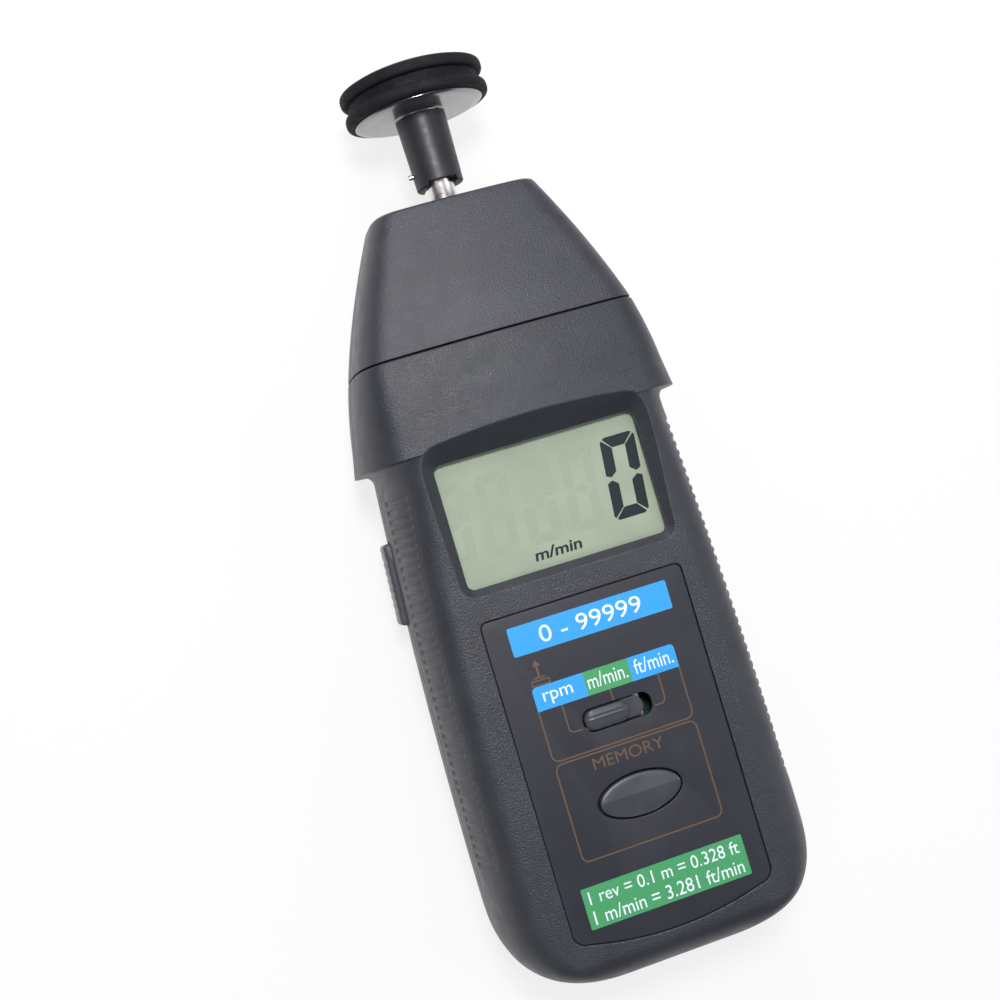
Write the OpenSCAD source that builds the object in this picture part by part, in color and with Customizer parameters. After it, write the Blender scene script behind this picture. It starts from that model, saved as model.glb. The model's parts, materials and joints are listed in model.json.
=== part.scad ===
// Hand-held contact tachometer with a 100 mm surface wheel, lying on its flat back.
// X runs across the display, Y along the shaft towards the wheel, Z up from the back face.

/* [Case] */
// Length of the case from its bottom end to the nose
case_l = 167.6; // [150:0.2:190]
// Width of the case at its widest, near the bottom
case_w = 70.4; // [68:0.2:76]
// Width of the case at the waist under the hood
waist_w = 63.2; // [61:0.2:66]
// Distance from the bottom end to the widest place
wide_from_end = 23.8; // [20:0.2:30]
// Height of the parting line and of the shaft axis over the back face
split_h = 19; // [18.6:0.1:21]
// Height of the flat front face over the parting line
front_h = 17.6; // [17.4:0.1:19]
// Wall thickness of the case
wall = 2.2; // [1.8:0.1:2.4]
// Width of the rounded shoulder beside the flat front face
shoulder_w = 9; // [7:0.1:10]
// Width of the rounded edge of the back
back_round = 5; // [4:0.1:5.4]
// Reach of the rounding at the bottom end of the front
end_round = 8; // [6:0.1:10]

/* [Hood and nose] */
// Length from the nose back to the tips of the hood
hood_l = 50.6; // [48:0.2:54]
// Width across the tips of the hood
hood_w = 71.2; // [69:0.2:76]
// Outward flick of each tip
tip_flick = 0.7; // [0.2:0.1:1.2]
// Width of the nose
nose_w = 36.4; // [34:0.2:40]
// Height of the nose's front edge over the shaft axis
nose_h = 12.4; // [12:0.1:14]
// Height of the nose's back edge over the back face
nose_rise = 6; // [4:0.1:7]
// Crown of the hood over the flat front face
crown_h = 3; // [2:0.1:4]
// Length of the nose cap in front of the seam
cap_l = 30.4; // [28:0.2:33]
// Gap at the seam between the nose cap and the case
seam_gap = 0.25; // [0.15:0.05:0.3]

/* [Display] */
// Width of the display opening
lcd_w = 44.1; // [40:0.1:46]
// Height of the display opening
lcd_h = 26.6; // [24:0.1:28]
// Centre of the display opening, over the reference line
lcd_y = 16.2; // [15.6:0.1:17]
// Corner radius of the display opening
lcd_r = 1.6; // [1:0.1:2.5]
// Depth of the display opening under the flat front face
lcd_depth = 1.4; // [1.2:0.1:1.5]
// Lip of the case over the window's edge
lcd_lip_t = 0.6; // [0.4:0.1:0.7]
// Window border hidden under the case
window_border = 2; // [1.4:0.1:2.2]
// Thickness of the window
window_t = 1.2; // [1:0.1:1.3]
// Thickness of the liquid crystal glass
glass_t = 2; // [1.6:0.1:2.2]
// Rise of the sloping wall round the display, per length
bezel_slope = 0.84; // [0.7:0.02:1]

/* [Front panel] */
// Width of the inset panel
panel_w = 44.2; // [42:0.1:47]
// Upper edge of the panel, under the reference line
panel_top = 4.1; // [3.8:0.1:6]
// Lower edge of the panel at its sides
panel_low = 73; // [72:0.1:74]
// Sag of the arched lower edge
panel_sag = 2.6; // [1.5:0.1:3]
// Radius of the panel's upper corners
panel_r = 1.4; // [1:0.1:4]
// Radius of the panel's lower corners
panel_low_r = 2.8; // [2:0.1:4]
// Thickness of the panel
panel_t = 0.8; // [0.6:0.05:0.9]
// Depth of the panel's face under the case's front
panel_inset = 0.3; // [0.2:0.05:0.4]

/* [Slide switch] */
// Height of the switch opening's centre, under the reference line
slot_y = 29.75; // [29:0.05:31]
// Length of the switch opening
slot_l = 15.2; // [14.8:0.1:16]
// Height of the switch opening
slot_h = 4.9; // [4.7:0.1:5.4]
// Length of the raised grip
grip_l = 9.9; // [9:0.1:10]
// Length of the flat apron beside the grip
apron_l = 3.3; // [2.8:0.1:3.4]
// Height of the grip over the panel
grip_rise = 1.3; // [1:0.1:1.8]
// Travel of the switch over its three places
slide_travel = 4.6; // [4:0.1:4.6]

/* [Memory key] */
// Height of the key's centre, under the reference line
key_y = 47.2; // [46:0.1:48]
// Length of the oval opening of the key
key_l = 18.6; // [17:0.1:20]
// Height of the oval opening of the key
key_h = 9.3; // [9:0.1:11]
// Gap round the key
key_gap = 0.4; // [0.3:0.05:0.5]
// Height of the key over the panel
key_rise = 0.9; // [0.8:0.1:1.4]
// Travel of the key
key_travel = 0.6; // [0.4:0.05:0.7]

/* [Measure button] */
// Length of the side button
button_l = 18; // [14:0.2:20]
// Height of the side button
button_h = 8; // [7:0.1:8.4]
// Height of the button's centre over the back face
button_z = 11.5; // [11:0.1:12]
// Stand of the button out of the case
button_proud = 1.4; // [1.3:0.1:1.6]
// Travel of the button
button_travel = 1; // [0.6:0.05:1.1]

/* [Shaft and bearings] */
// Diameter of the shaft in front of the bearings
shaft_d = 6; // [5.6:0.1:6]
// Diameter of the shaft in the bearings
journal_d = 5; // [4.6:0.1:5]
// Outer diameter of a ball bearing
bearing_d = 11; // [10.6:0.1:11.4]
// Width of a ball bearing
bearing_w = 4; // [3:0.1:4.2]
// Diameter of a ball
ball_d = 1.5; // [1.4:0.05:1.6]
// Balls in a bearing
ball_count = 8; // [6:1:9]
// Distance between the two bearings
bearing_span = 14; // [12:0.2:15]
// Outer diameter of the bearing housing
housing_d = 15; // [14.6:0.1:16]
// Diameter of the slotted disc
disc_d = 14.4; // [13.6:0.1:14.6]
// Slots in the disc
disc_slots = 24; // [12:1:30]

/* [Surface wheel] */
// Running diameter of the wheel, for a 100 mm circumference
wheel_d = 31.83; // [30:0.01:34]
// Distance between the two rubber lips
lip_pitch = 4.75; // [4:0.05:5]
// Width of one rubber lip
lip_w = 2.6; // [2.2:0.1:3]
// Depth of the groove between the lips
groove_depth = 1.4; // [0.8:0.1:1.8]
// Distance from the nose to the lower lip
wheel_stand = 23.2; // [22:0.1:26]
// Diameter of the hub tube at the wheel
hub_d = 11.1; // [10.4:0.1:12]
// Diameter of the hub tube at its lower end
hub_tip_d = 10.4; // [10:0.1:10.4]
// Gap from the nose to the hub tube
hub_stand = 5; // [4:0.1:6]

/* [Batteries] */
// Diameter of a cell
cell_d = 14.2; // [13.5:0.1:14.5]
// Length of a cell
cell_l = 50; // [49.2:0.1:50.5]
// Thickness of the battery cover
cover_t = 1.8; // [1.6:0.1:1.8]

/* [Hidden] */

// Smoothness of round parts
$fn = 48;
// Overrun of every cut past the face that it opens
over = 0.5;
// Fit between pieces that are fixed to each other
seat_gap = 0.1;
// Clearance between pieces that move past each other
slip_gap = 0.3;
// Running fit of a shaft, on the radius
run_fit = 0.05;

// Case stations
// Distance of the display's reference line from the middle of the case, towards the nose
line_shift = 0.8;
nose_y = case_l / 2 - line_shift;
end_y = -case_l / 2 - line_shift;
tip_y = nose_y - hood_l;
seam_y = nose_y - cap_l;
wide_y = end_y + wide_from_end;
face_z = split_h + front_h;

// Shapes of the case's curves, as exponents and shares
hood_bulge = 1.6;
waist_bulge = 0.9;
end_plan_power = 3.2;
edge_power = 2.3;
back_power = 2.6;
flick_start_share = 0.85;
flat_limit_share = 0.8;
// Flat part of the hood's front, from the nose to the tips: place share, width share
hood_flat_shares = [[0, 0.6], [0.3, 0.68], [0.6, 0.76], [0.85, 0.75], [1, 0.72]];
// Squareness of the hood's edges from the nose to the tips: place share, power
hood_power_shares = [[0, 4], [0.6, 3.2], [0.85, 2.5], [1, 2.3]];
// Crown of the hood from the nose to the tips: place share, crown share
hood_crown_shares = [[0, 0.4], [0.6, 0.85], [1, 1]];
// Height of the hood's front from the nose to the tips: place share, share of its growth
hood_height_shares = [[0, 0], [0.25, 0.42], [0.6, 0.9], [0.8, 1], [1, 1]];
// Places of the undercut's fillet below the tips: depth share, width share
undercut_l = 3.4;
undercut_shares = [[0, 1], [0.06, 0.38], [0.35, 0.1], [1, 0]];

function clamp01(v) = min(max(v, 0), 1);
function smooth(v) = let(t = clamp01(v)) t * t * (3 - 2 * t);
function arc(u, power) = pow(max(1 - pow(clamp01(u), power), 0), 1 / power);
function hood_share(y) = clamp01((nose_y - y) / hood_l);

// Half width of the case at a station
function hood_half(y) = let(t = hood_share(y), lean = hood_w / 2 - tip_flick - nose_w / 2)
    nose_w / 2 + lean * (1 - pow(1 - t, hood_bulge))
    + tip_flick * pow(clamp01((t - flick_start_share) / (1 - flick_start_share)), 2);
function waist_half(y) =
    waist_w / 2 + (case_w - waist_w) / 2 * sin(90 * pow(clamp01((tip_y - y) / (tip_y - wide_y)), waist_bulge));
function body_half(y) =
    (y < wide_y ? case_w / 2 * arc((wide_y - y) / (wide_y - end_y), end_plan_power) : waist_half(y))
    + (hood_w / 2 - waist_w / 2) * lookup((tip_y - y) / undercut_l, undercut_shares);
function half_w(y) = y >= tip_y ? hood_half(y) : body_half(y);

// Heights of the case at a station
function crown(y) = crown_h * (y >= tip_y ? lookup(hood_share(y), hood_crown_shares)
    : smooth((y - lcd_y + lcd_h / 2) / (tip_y - lcd_y + lcd_h / 2)));
function front_rise(y) = y >= tip_y ? nose_h + (front_h - nose_h) * lookup(hood_share(y), hood_height_shares)
    : front_h * arc((end_y + end_round - y) / end_round, edge_power);
function back_rise(y) = nose_rise * smooth((y - seam_y + wall) / (cap_l + wall));
function back_depth(y) = (split_h - back_rise(y)) * arc((end_y + back_round - y) / back_round, back_power);
function flat_half(y) = y >= tip_y ? hood_half(y) * lookup(hood_share(y), hood_flat_shares)
    : max(body_half(y) - shoulder_w, body_half(y) / 4);

// Squareness of the front's edges at a station
function front_power(y) = y >= tip_y ? lookup(hood_share(y), hood_power_shares) : edge_power;

// Least half width near a station, so that the cavity keeps its wall beside a step
function inner_half(y) = min([for (d = [-wall, 0, wall]) half_w(min(max(y + d, end_y), nose_y))]);

// Points of one half of a section, from the left side to the right, on a wall set in by t
front_steps = 12;
function front_arc(y, t, n) =
    let(w = t > 0 ? inner_half(y) - t : half_w(y), h = front_rise(y) - t,
        c = t > 0 && y <= tip_y + wall ? 0 : crown(y), power = front_power(y),
        f = min(flat_half(y), w * flat_limit_share))
    [for (i = [-n : n])
        let(s = abs(i) / n, side = sign(i),
            a = 90 * clamp01(2 * s - 1),
            x = s <= 1 / 2 ? f * 2 * s : f + (w - f) * pow(sin(a), 2 / power),
            z = h * (s <= 1 / 2 ? 1 : pow(max(cos(a), 0), 2 / power)))
        [side * x, y, split_h + z + c * (1 - pow(x / w, 2)) * (s <= 1 / 2 ? 1 : cos(a))]];
function back_arc(y, t, n) =
    let(w = t > 0 ? inner_half(y) - t : half_w(y), d = back_depth(y) - t, r = min(back_round, w / 2))
    [for (side = [1, -1], i = [0 : n])
        let(a = 90 * (side > 0 ? i : n - i) / n)
        [side * (w - r + r * pow(max(cos(a), 0), 2 / back_power)), y,
            split_h - d * pow(sin(a), 2 / back_power)]];

// Closed rings of a half or a whole section, raised or lowered at the parting line for a cut
function front_ring(y, t, n, cut) = let(p = front_arc(y, t, n))
    concat(p, cut > 0 ? [[p[len(p) - 1].x, y, split_h - cut], [p[0].x, y, split_h - cut]] : []);
function back_ring(y, t, n, cut) = let(p = back_arc(y, t, n))
    concat(p, cut > 0 ? [[p[len(p) - 1].x, y, split_h + cut], [p[0].x, y, split_h + cut]] : []);
function whole_ring(y, t, n, m) = let(b = back_arc(y, t, m))
    concat(front_arc(y, t, n), [for (i = [1 : len(b) - 2]) b[i]]);

// Skin through a list of closed rings
module loft(rings) {
    n = len(rings[0]);
    m = len(rings);
    polyhedron(
        points = [for (r = rings, p = r) p],
        faces = concat(
            [[for (i = [0 : n - 1]) i]],
            [for (j = [0 : m - 2], i = [0 : n - 1]) let(k = (i + 1) % n)
                each [[j * n + i, (j + 1) * n + k, j * n + k], [j * n + i, (j + 1) * n + i, (j + 1) * n + k]]],
            [[for (i = [n - 1 : -1 : 0]) (m - 1) * n + i]]),
        convexity = 6);
}

// Stations along the case, closer at the bottom end and under the hood
body_station_shares = [0, 0.25, 0.5, 0.75];
hood_station_shares = [0, 0.12, 0.3, 0.6, 1];
cap_station_shares = [0, 0.2, 0.45, 0.7, 0.88, 1];
end_cavity_shares = [0.1, 0.25, 0.5, 1];
body_cavity_shares = [0.33, 0.66, 1];
cap_cavity_shares = [0, 0.35, 0.7, 1];
end_angles = [86, 78, 68, 56, 42, 22];
end_stations = [for (a = end_angles) wide_y - wide_from_end * sin(a)];
body_stations = [for (s = body_station_shares) wide_y + (tip_y - undercut_l - wide_y) * s];
undercut_stations = [for (i = [len(undercut_shares) - 1 : -1 : 1]) tip_y - undercut_l * undercut_shares[i][0]];
hood_stations = [for (s = hood_station_shares) tip_y + (seam_y - tip_y) * s];
case_stations = concat(end_stations, body_stations, undercut_stations, hood_stations);
cap_stations = [for (s = cap_station_shares) seam_y + seam_gap + (cap_l - seam_gap) * s];
cavity_stations = concat([for (s = end_cavity_shares) end_y + wall + (wide_from_end - wall) * s],
    [for (s = body_cavity_shares) wide_y + (tip_y - wide_y) * s],
    [tip_y + wall, tip_y + 2 * wall, seam_y + over]);
cap_cavity_stations = [for (s = cap_cavity_shares) seam_y - over + (cap_l - wall + over) * s];

// Rounded outlines
function corner(c, r, from, n) = [for (i = [0 : n]) c + r * [cos(from + 90 * i / n), sin(from + 90 * i / n)]];
function round_rect(w, h, r, n = 4) = concat(
    corner([w / 2 - r, h / 2 - r], r, 0, n), corner([-w / 2 + r, h / 2 - r], r, 90, n),
    corner([-w / 2 + r, -h / 2 + r], r, 180, n), corner([w / 2 - r, -h / 2 + r], r, 270, n));
function oval(w, h, n = 48) = [for (i = [0 : n - 1]) [w / 2 * cos(360 * i / n), h / 2 * sin(360 * i / n)]];

module slab(points, z0, z1) {
    translate([0, 0, z0]) linear_extrude(z1 - z0) polygon(points);
}
module block(x0, x1, y0, y1, z0, z1) {
    translate([x0, y0, z0]) cube([x1 - x0, y1 - y0, z1 - z0]);
}
// Round pieces about the shaft's axis, upwards, or along Y or X
module turned_y(y) {
    translate([0, y, split_h]) rotate([-90, 0, 0]) rotate_extrude() children();
}
module post(x, y, r, z0, z1) {
    translate([x, y, z0]) cylinder(r = r, h = z1 - z0);
}

// Inside levels
board_t = 1.6;
board_drop = 8.6;
board_z = face_z - board_drop;
board_top = board_z + board_t;
ceiling_z = face_z - wall;
window_top = face_z - lcd_depth - lcd_lip_t;
window_low = window_top - window_t;
glass_top = window_low - seat_gap;
glass_low = glass_top - glass_t;
panel_top_z = face_z - panel_inset;
panel_seat_z = panel_top_z - panel_t;

// Display stack
holder_lip = 0.65;
holder_bar = 2.2;
holder_end_bar = 0.9;
strip_w = 1.2;
strip_inset = 0.5;
window_w = lcd_w + 2 * window_border;
window_h = lcd_h + 2 * window_border;
glass_w = window_w + slip_gap;
glass_h = window_h + slip_gap;
holder_w = glass_w + 2 * holder_lip;
holder_h = glass_h + 2 * holder_lip;
strip_l = lcd_w - 2 * strip_inset;

// Battery bay
cell_gap = 0.5;
cell_pitch = cell_d + cell_gap;
nub_r = 2.7;
nub_l = 1.2;
spring_l = 4.6;
spring_wire_r = 0.35;
spring_turns = 3.5;
spring_low_r = 4.2;
spring_high_r = 3;
plate_t = 0.5;
plate_w = 9;
bay_wall = 1.2;
bay_end_gap = 12;
bay_floor = cover_t + slip_gap;
cell_z = bay_floor + slip_gap + cell_d / 2;
bay_top = cell_z + cell_d / 2 + slip_gap;
bay_low_y = end_y + bay_end_gap;
bay_l = cell_l + spring_l + 2 * plate_t + 2 * run_fit;
bay_high_y = bay_low_y + bay_l;
// As many cells as lie side by side between the walls
cell_count = floor(2 * (waist_half(bay_high_y) - wall - slip_gap) / cell_pitch);
bay_half = cell_pitch * cell_count / 2 + slip_gap;
tail_half = 1;
tail_l = 1.6;
tail_x = 3.6;

// Battery cover and its guides
cover_margin = 1.2;
cover_half = waist_half(bay_high_y) - back_round - cover_margin;
cover_gap = 0.2;
cover_reach = 2;
cover_top_y = bay_high_y + bay_wall + cover_reach;
tongue_w = 0.8;
tongue_low = 0.8;
tongue_high = 1.4;
click_half = 2.2;
click_reach = 1.6;
click_rise = 1.6;
click_t = 0.9;
pad_top = 4.4;

// Case screws
screw_r = 1.3;
screw_head_r = 2.4;
screw_head_h = 1.8;
screw_seat_z = 5.4;
screw_reach = 9;
boss_r = 3;
seat_boss_r = 3.6;
end_screw_inset = 17.7;
end_screw_gap = 5.8;
end_screw_x = case_w / 2 - end_screw_inset;
waist_screw_inset = 9.1;
waist_screw_gap = 8;
waist_screw_x = waist_half(bay_high_y + waist_screw_gap) - waist_screw_inset;
case_screw_places = [for (side = [-1, 1]) each [[side * end_screw_x, end_y + end_screw_gap],
    [side * waist_screw_x, bay_high_y + waist_screw_gap]]];

// Circuit board and its screws
board_side_gap = 5.8;
board_half = min(waist_w, case_w, hood_w) / 2 - board_side_gap;
board_end_gap = 14;
board_seam_gap = 1.6;
board_low_y = end_y + board_end_gap;
board_high_y = seam_y - board_seam_gap;
board_boss_r = 2.4;
board_screw_r = 0.9;
board_screw_head_r = 1.7;
board_screw_head_h = 1.2;
board_screw_l = 4.4;
// Insets of the screws from the board's sides, and their gaps from its ends and from the bay
board_low_inset = 3.2;
board_low_gap = 4;
board_waist_inset = 11.2;
board_waist_gap = 7.2;
board_high_inset = 4.2;
board_high_gap = 5.4;
board_screw_places = [for (side = [-1, 1]) each [
    [side * (board_half - board_low_inset), board_low_y + board_low_gap],
    [side * (board_half - board_waist_inset), bay_high_y + board_waist_gap],
    [side * (board_half - board_high_inset), board_high_y - board_high_gap]]];

// Nose cap screws and the tongue that they hold
cap_screw_x = 10.5;
cap_screw_gap = 6.4;
cap_screw_y = seam_y + cap_screw_gap;
cap_screw_r = 1;
cap_screw_head_r = 1.9;
cap_screw_seat_z = 2.4;
cap_screw_head_h = 1.2;
cap_post_r = 2.6;
nose_tongue_half = 14;
nose_tongue_low = 5.2;
nose_tongue_high = 7.6;
nose_tongue_back = 12;
nose_tongue_front = 12.6;

// Shaft line
shaft_r = shaft_d / 2;
journal_r = journal_d / 2;
bearing_r = bearing_d / 2;
shaft_chamfer = 0.5;
press_fit = 0.02;
seal_t = 0.8;
seal_r = 5.4;
nose_hole_gap = 1.2;
nose_hole_r = shaft_r + nose_hole_gap;
housing_r = housing_d / 2;
housing_shoulder = 0.7;
housing_front_l = 0.4;
housing_rear_l = 1;
housing_front_y = nose_y - wall - seal_t;
front_bearing_y = housing_front_y - housing_front_l - bearing_w;
rear_bearing_y = front_bearing_y - bearing_w - bearing_span;
housing_rear_y = rear_bearing_y - housing_rear_l;
flange_t = 2.5;
flange_post_l = 3.2;
flange_front_y = nose_y - wall - flange_post_l;
flange_half_x = 14;
flange_half_z = 5;
flange_screw_x = 11;
flange_screw_r = 1;
flange_screw_head_r = 2;
flange_screw_head_h = 1.4;
flange_post_r = 2.4;
race_t = 1;
pitch_r = (journal_r + bearing_r) / 2;
groove_gap = 0.03;
cage_t = 0.6;
cage_w = 2.2;
disc_gap = 10;
disc_t = 0.5;
disc_y = rear_bearing_y - disc_gap - disc_t;
disc_r = disc_d / 2;
disc_hub_r = 4.5;
disc_hub_l = 4;
disc_rim = 0.6;
disc_slot_l = 1.4;
disc_slot_w = 0.6;
disc_slot_high = disc_r - disc_rim;
disc_slot_low = disc_slot_high - disc_slot_l;
ring_t = 0.6;
ring_r = 4.2;
ring_groove_depth = 0.4;
shaft_tail_l = 2.7;
shaft_rear_y = disc_y - shaft_tail_l;
sensor_gap = 2.5;
sensor_leg_t = 2.9;
sensor_half_x = 3;
sensor_base_t = 1.4;

// Wheel line
wheel_r = wheel_d / 2;
low_lip_y = nose_y + wheel_stand;
high_lip_y = low_lip_y + lip_pitch;
hub_low_y = nose_y + hub_stand;
hub_r = hub_d / 2;
hub_tip_r = hub_tip_d / 2;
tyre_low_y = low_lip_y - lip_w / 2;
tyre_high_y = high_lip_y + lip_w / 2;
tyre_t = 1.4;
tyre_seat_r = wheel_r - groove_depth - tyre_t;
rim_drop = 1.6;
rim_flange_r = wheel_r - rim_drop;
rim_flange_t = 0.35;
wheel_face_drop = 0.4;
wheel_face_bevel = 2.4;
wheel_face_r = rim_flange_r - wheel_face_bevel;
wheel_face_y = tyre_low_y - rim_flange_t - wheel_face_drop;
wheel_dome = 0.9;
dome_share = 0.7;
hub_fillet = 0.5;
shaft_end_gap = 1.6;
shaft_front_y = tyre_low_y - shaft_end_gap;
bore_end_gap = 0.6;
hub_notch_half = 3.2;
hub_notch_h = 1;
hub_pin_r = 0.55;
hub_pin_gap = 3.5;
hub_pin_y = hub_low_y + hub_pin_gap;
hub_pin_proud = 1.15;

// Slide switch line
slot_shift = 0.3;
slot_r = 2.1;
slot_left = slot_shift - slot_l / 2;
slot_right = slot_shift + slot_l / 2;
knob_left = slot_left + slip_gap;
knob_half = slot_h / 2 - slip_gap;
knob_r = slot_r - slip_gap;
outer_ridge_share = 0.6;
apron_t = 0.7;
apron_top = panel_seat_z - cover_gap;
apron_right = knob_left + grip_l + apron_l;
case_slot_right = apron_right + slide_travel + slip_gap;
mode_body_l = 13;
mode_body_half = 3;
mode_body_h = 3.8;
mode_body_shift = 0.6;
mode_body_x = knob_left + grip_l / 2 + slide_travel / 2 - mode_body_shift;
lever_half_l = 1.5;
lever_half = 0.9;
lever_x = mode_body_x - slide_travel / 2;
lever_sink = 1.4;
fork_wall = 0.5;

// Memory key line
key_edge_drop = 0.5;
key_flange = 0.8;
key_flange_t = 0.8;
key_flange_top = ceiling_z - slip_gap;
key_flange_low = key_flange_top - key_flange_t;
tact_half = 3;
tact_h = 2.5;
tact_plunger_r = 1.6;
tact_sink = 1.6;

// Measure button line
button_y = 8;
button_low_y = button_y - button_l / 2;
button_high_y = button_y + button_l / 2;
button_low_z = button_z - button_h / 2;
button_high_z = button_z + button_h / 2;
button_gap = 0.35;
button_flange = 1.1;
button_flange_t = 1.2;
button_face_shares = [0, 0.2, 0.4, 0.6, 0.8, 1];
button_seat_x = inner_half(button_high_y) - wall - slip_gap;
finger_half = 3;
finger_t = 1.4;
finger_inset = 0.4;
finger_gap = 1.6;
finger_top = board_z - finger_gap;
nub_reach = 1.1;
nub_half = 1;
nub_drop = 3;
nub_x = button_seat_x - finger_t - nub_reach;
nub_z = board_z - nub_drop;
side_switch_gap = 1.2;
side_switch_l = 6;
side_switch_half = 3;
side_switch_h = 6;
side_plunger_half = 1.2;
side_plunger_sink = 1.6;

module rod_y(x, z, r, y0, y1) {
    translate([x, y0, z]) rotate([-90, 0, 0]) cylinder(r = r, h = y1 - y0);
}
module rod_x(y, z, r, x0, x1) {
    translate([x0, y, z]) rotate([0, 90, 0]) cylinder(r = r, h = x1 - x0);
}
module on_outline(points, shift, z0, z1) {
    slab([for (p = points) p + shift], z0, z1);
}

// Height of the outer front skin over a place
function skin_z(p) =
    let(w = half_w(p.y), f = min(flat_half(p.y), w * flat_limit_share), u = (abs(p.x) - f) / (w - f))
    split_h + front_rise(p.y) * arc(u, front_power(p.y)) + crown(p.y) * (1 - pow(p.x / w, 2)) * arc(u, 2);
boss_sink_share = 0.7;
function boss_top(p) = skin_z(p) - wall * boss_sink_share;

module case_form_front() {
    loft([for (y = case_stations) front_ring(y, 0, front_steps, 0)]);
}
module case_form_back() {
    loft([for (y = case_stations) back_ring(y, 0, 5, 0)]);
}

// Sloping walls round the display, as a funnel that opens upwards
module display_funnel() {
    rise = crown_h + lcd_depth + over;
    spread = rise / bezel_slope;
    low = round_rect(lcd_w, lcd_h, lcd_r);
    high = round_rect(lcd_w + 2 * spread, lcd_h + 2 * spread, lcd_r + spread);
    translate([0, lcd_y, face_z - lcd_depth])
        loft([[for (p = low) [p.x, p.y, 0]], [for (p = high) [p.x, p.y, rise]]]);
}

// Panel outline with its arched lower edge
panel_arch_steps = 10;
function panel_outline(grow) =
    let(half = panel_w / 2 + grow, top = grow - panel_top, low = -panel_low - grow)
    concat(
        corner([half - panel_r, top - panel_r], panel_r, 0, 4),
        corner([-half + panel_r, top - panel_r], panel_r, 90, 4),
        corner([-half + panel_low_r, low + panel_low_r], panel_low_r, 180, 3),
        [for (i = [1 : panel_arch_steps - 1]) let(s = 2 * i / panel_arch_steps - 1)
            [s * (half - panel_low_r), low - panel_sag * (1 - s * s)]],
        corner([half - panel_low_r, low + panel_low_r], panel_low_r, 270, 4));

function span_outline(left, right, half, r) =
    [for (p = round_rect(right - left, 2 * half, r, 6)) [p.x + (left + right) / 2, p.y - slot_y]];

// Grip ribs on the flanks, as a comb cut between them
rib_pitch = 2;
rib_gap = 1;
rib_depth = 0.6;
rib_hood_gap = 6.5;
rib_end_gap = 6;
rib_split_gap = 1.5;
rib_face_gap = 5;
rib_high_y = tip_y - rib_hood_gap;
rib_low_y = wide_y + rib_end_gap;
rib_low_z = split_h + rib_split_gap;
rib_high_z = face_z - rib_face_gap;
rib_count = floor((rib_high_y - rib_low_y) / rib_pitch);
function rib_y(i) = rib_high_y - rib_pitch * i;
module rib_comb(side) {
    outer = case_w / 2 + over;
    teeth = [for (i = [0 : rib_count - 1]) let(y = rib_y(i), low = rib_y(i) - rib_gap)
        each [[outer, y], [half_w(y) - rib_depth, y], [half_w(low) - rib_depth, low], [outer, low]]];
    back = [[outer + over, rib_y(rib_count - 1) - rib_gap], [outer + over, rib_high_y]];
    slab([for (p = concat(teeth, back)) [side * p.x, p.y]], rib_low_z, rib_high_z);
}

module front_case() {
    color([0.27, 0.28, 0.31]) {
        difference() {
            case_form_front();
            loft([for (y = cavity_stations) front_ring(y, wall, 5, over)]);
            display_funnel();
            on_outline(round_rect(lcd_w, lcd_h, lcd_r), [0, lcd_y], ceiling_z - over, face_z);
            on_outline(round_rect(window_w + 2 * seat_gap, window_h + 2 * seat_gap, lcd_r), [0, lcd_y],
                window_low - over, window_top);
            slab(panel_outline(seat_gap), panel_seat_z, face_z + over);
            slab(span_outline(slot_left, case_slot_right, slot_h / 2, slot_r), ceiling_z - over, face_z);
            on_outline(oval(key_l, key_h), [0, -key_y], ceiling_z - over, face_z);
            rib_comb(1);
            rib_comb(-1);
        }
        for (p = case_screw_places) difference() {
            post(p.x, p.y, boss_r, split_h, boss_top(p));
            post(p.x, p.y, screw_r + run_fit, split_h - over, split_h + screw_reach + over);
        }
        for (p = board_screw_places) difference() {
            post(p.x, p.y, board_boss_r, board_top, boss_top(p));
            post(p.x, p.y, board_screw_r + run_fit, board_top - over, board_z + board_screw_l + over);
        }
    }
}

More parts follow.
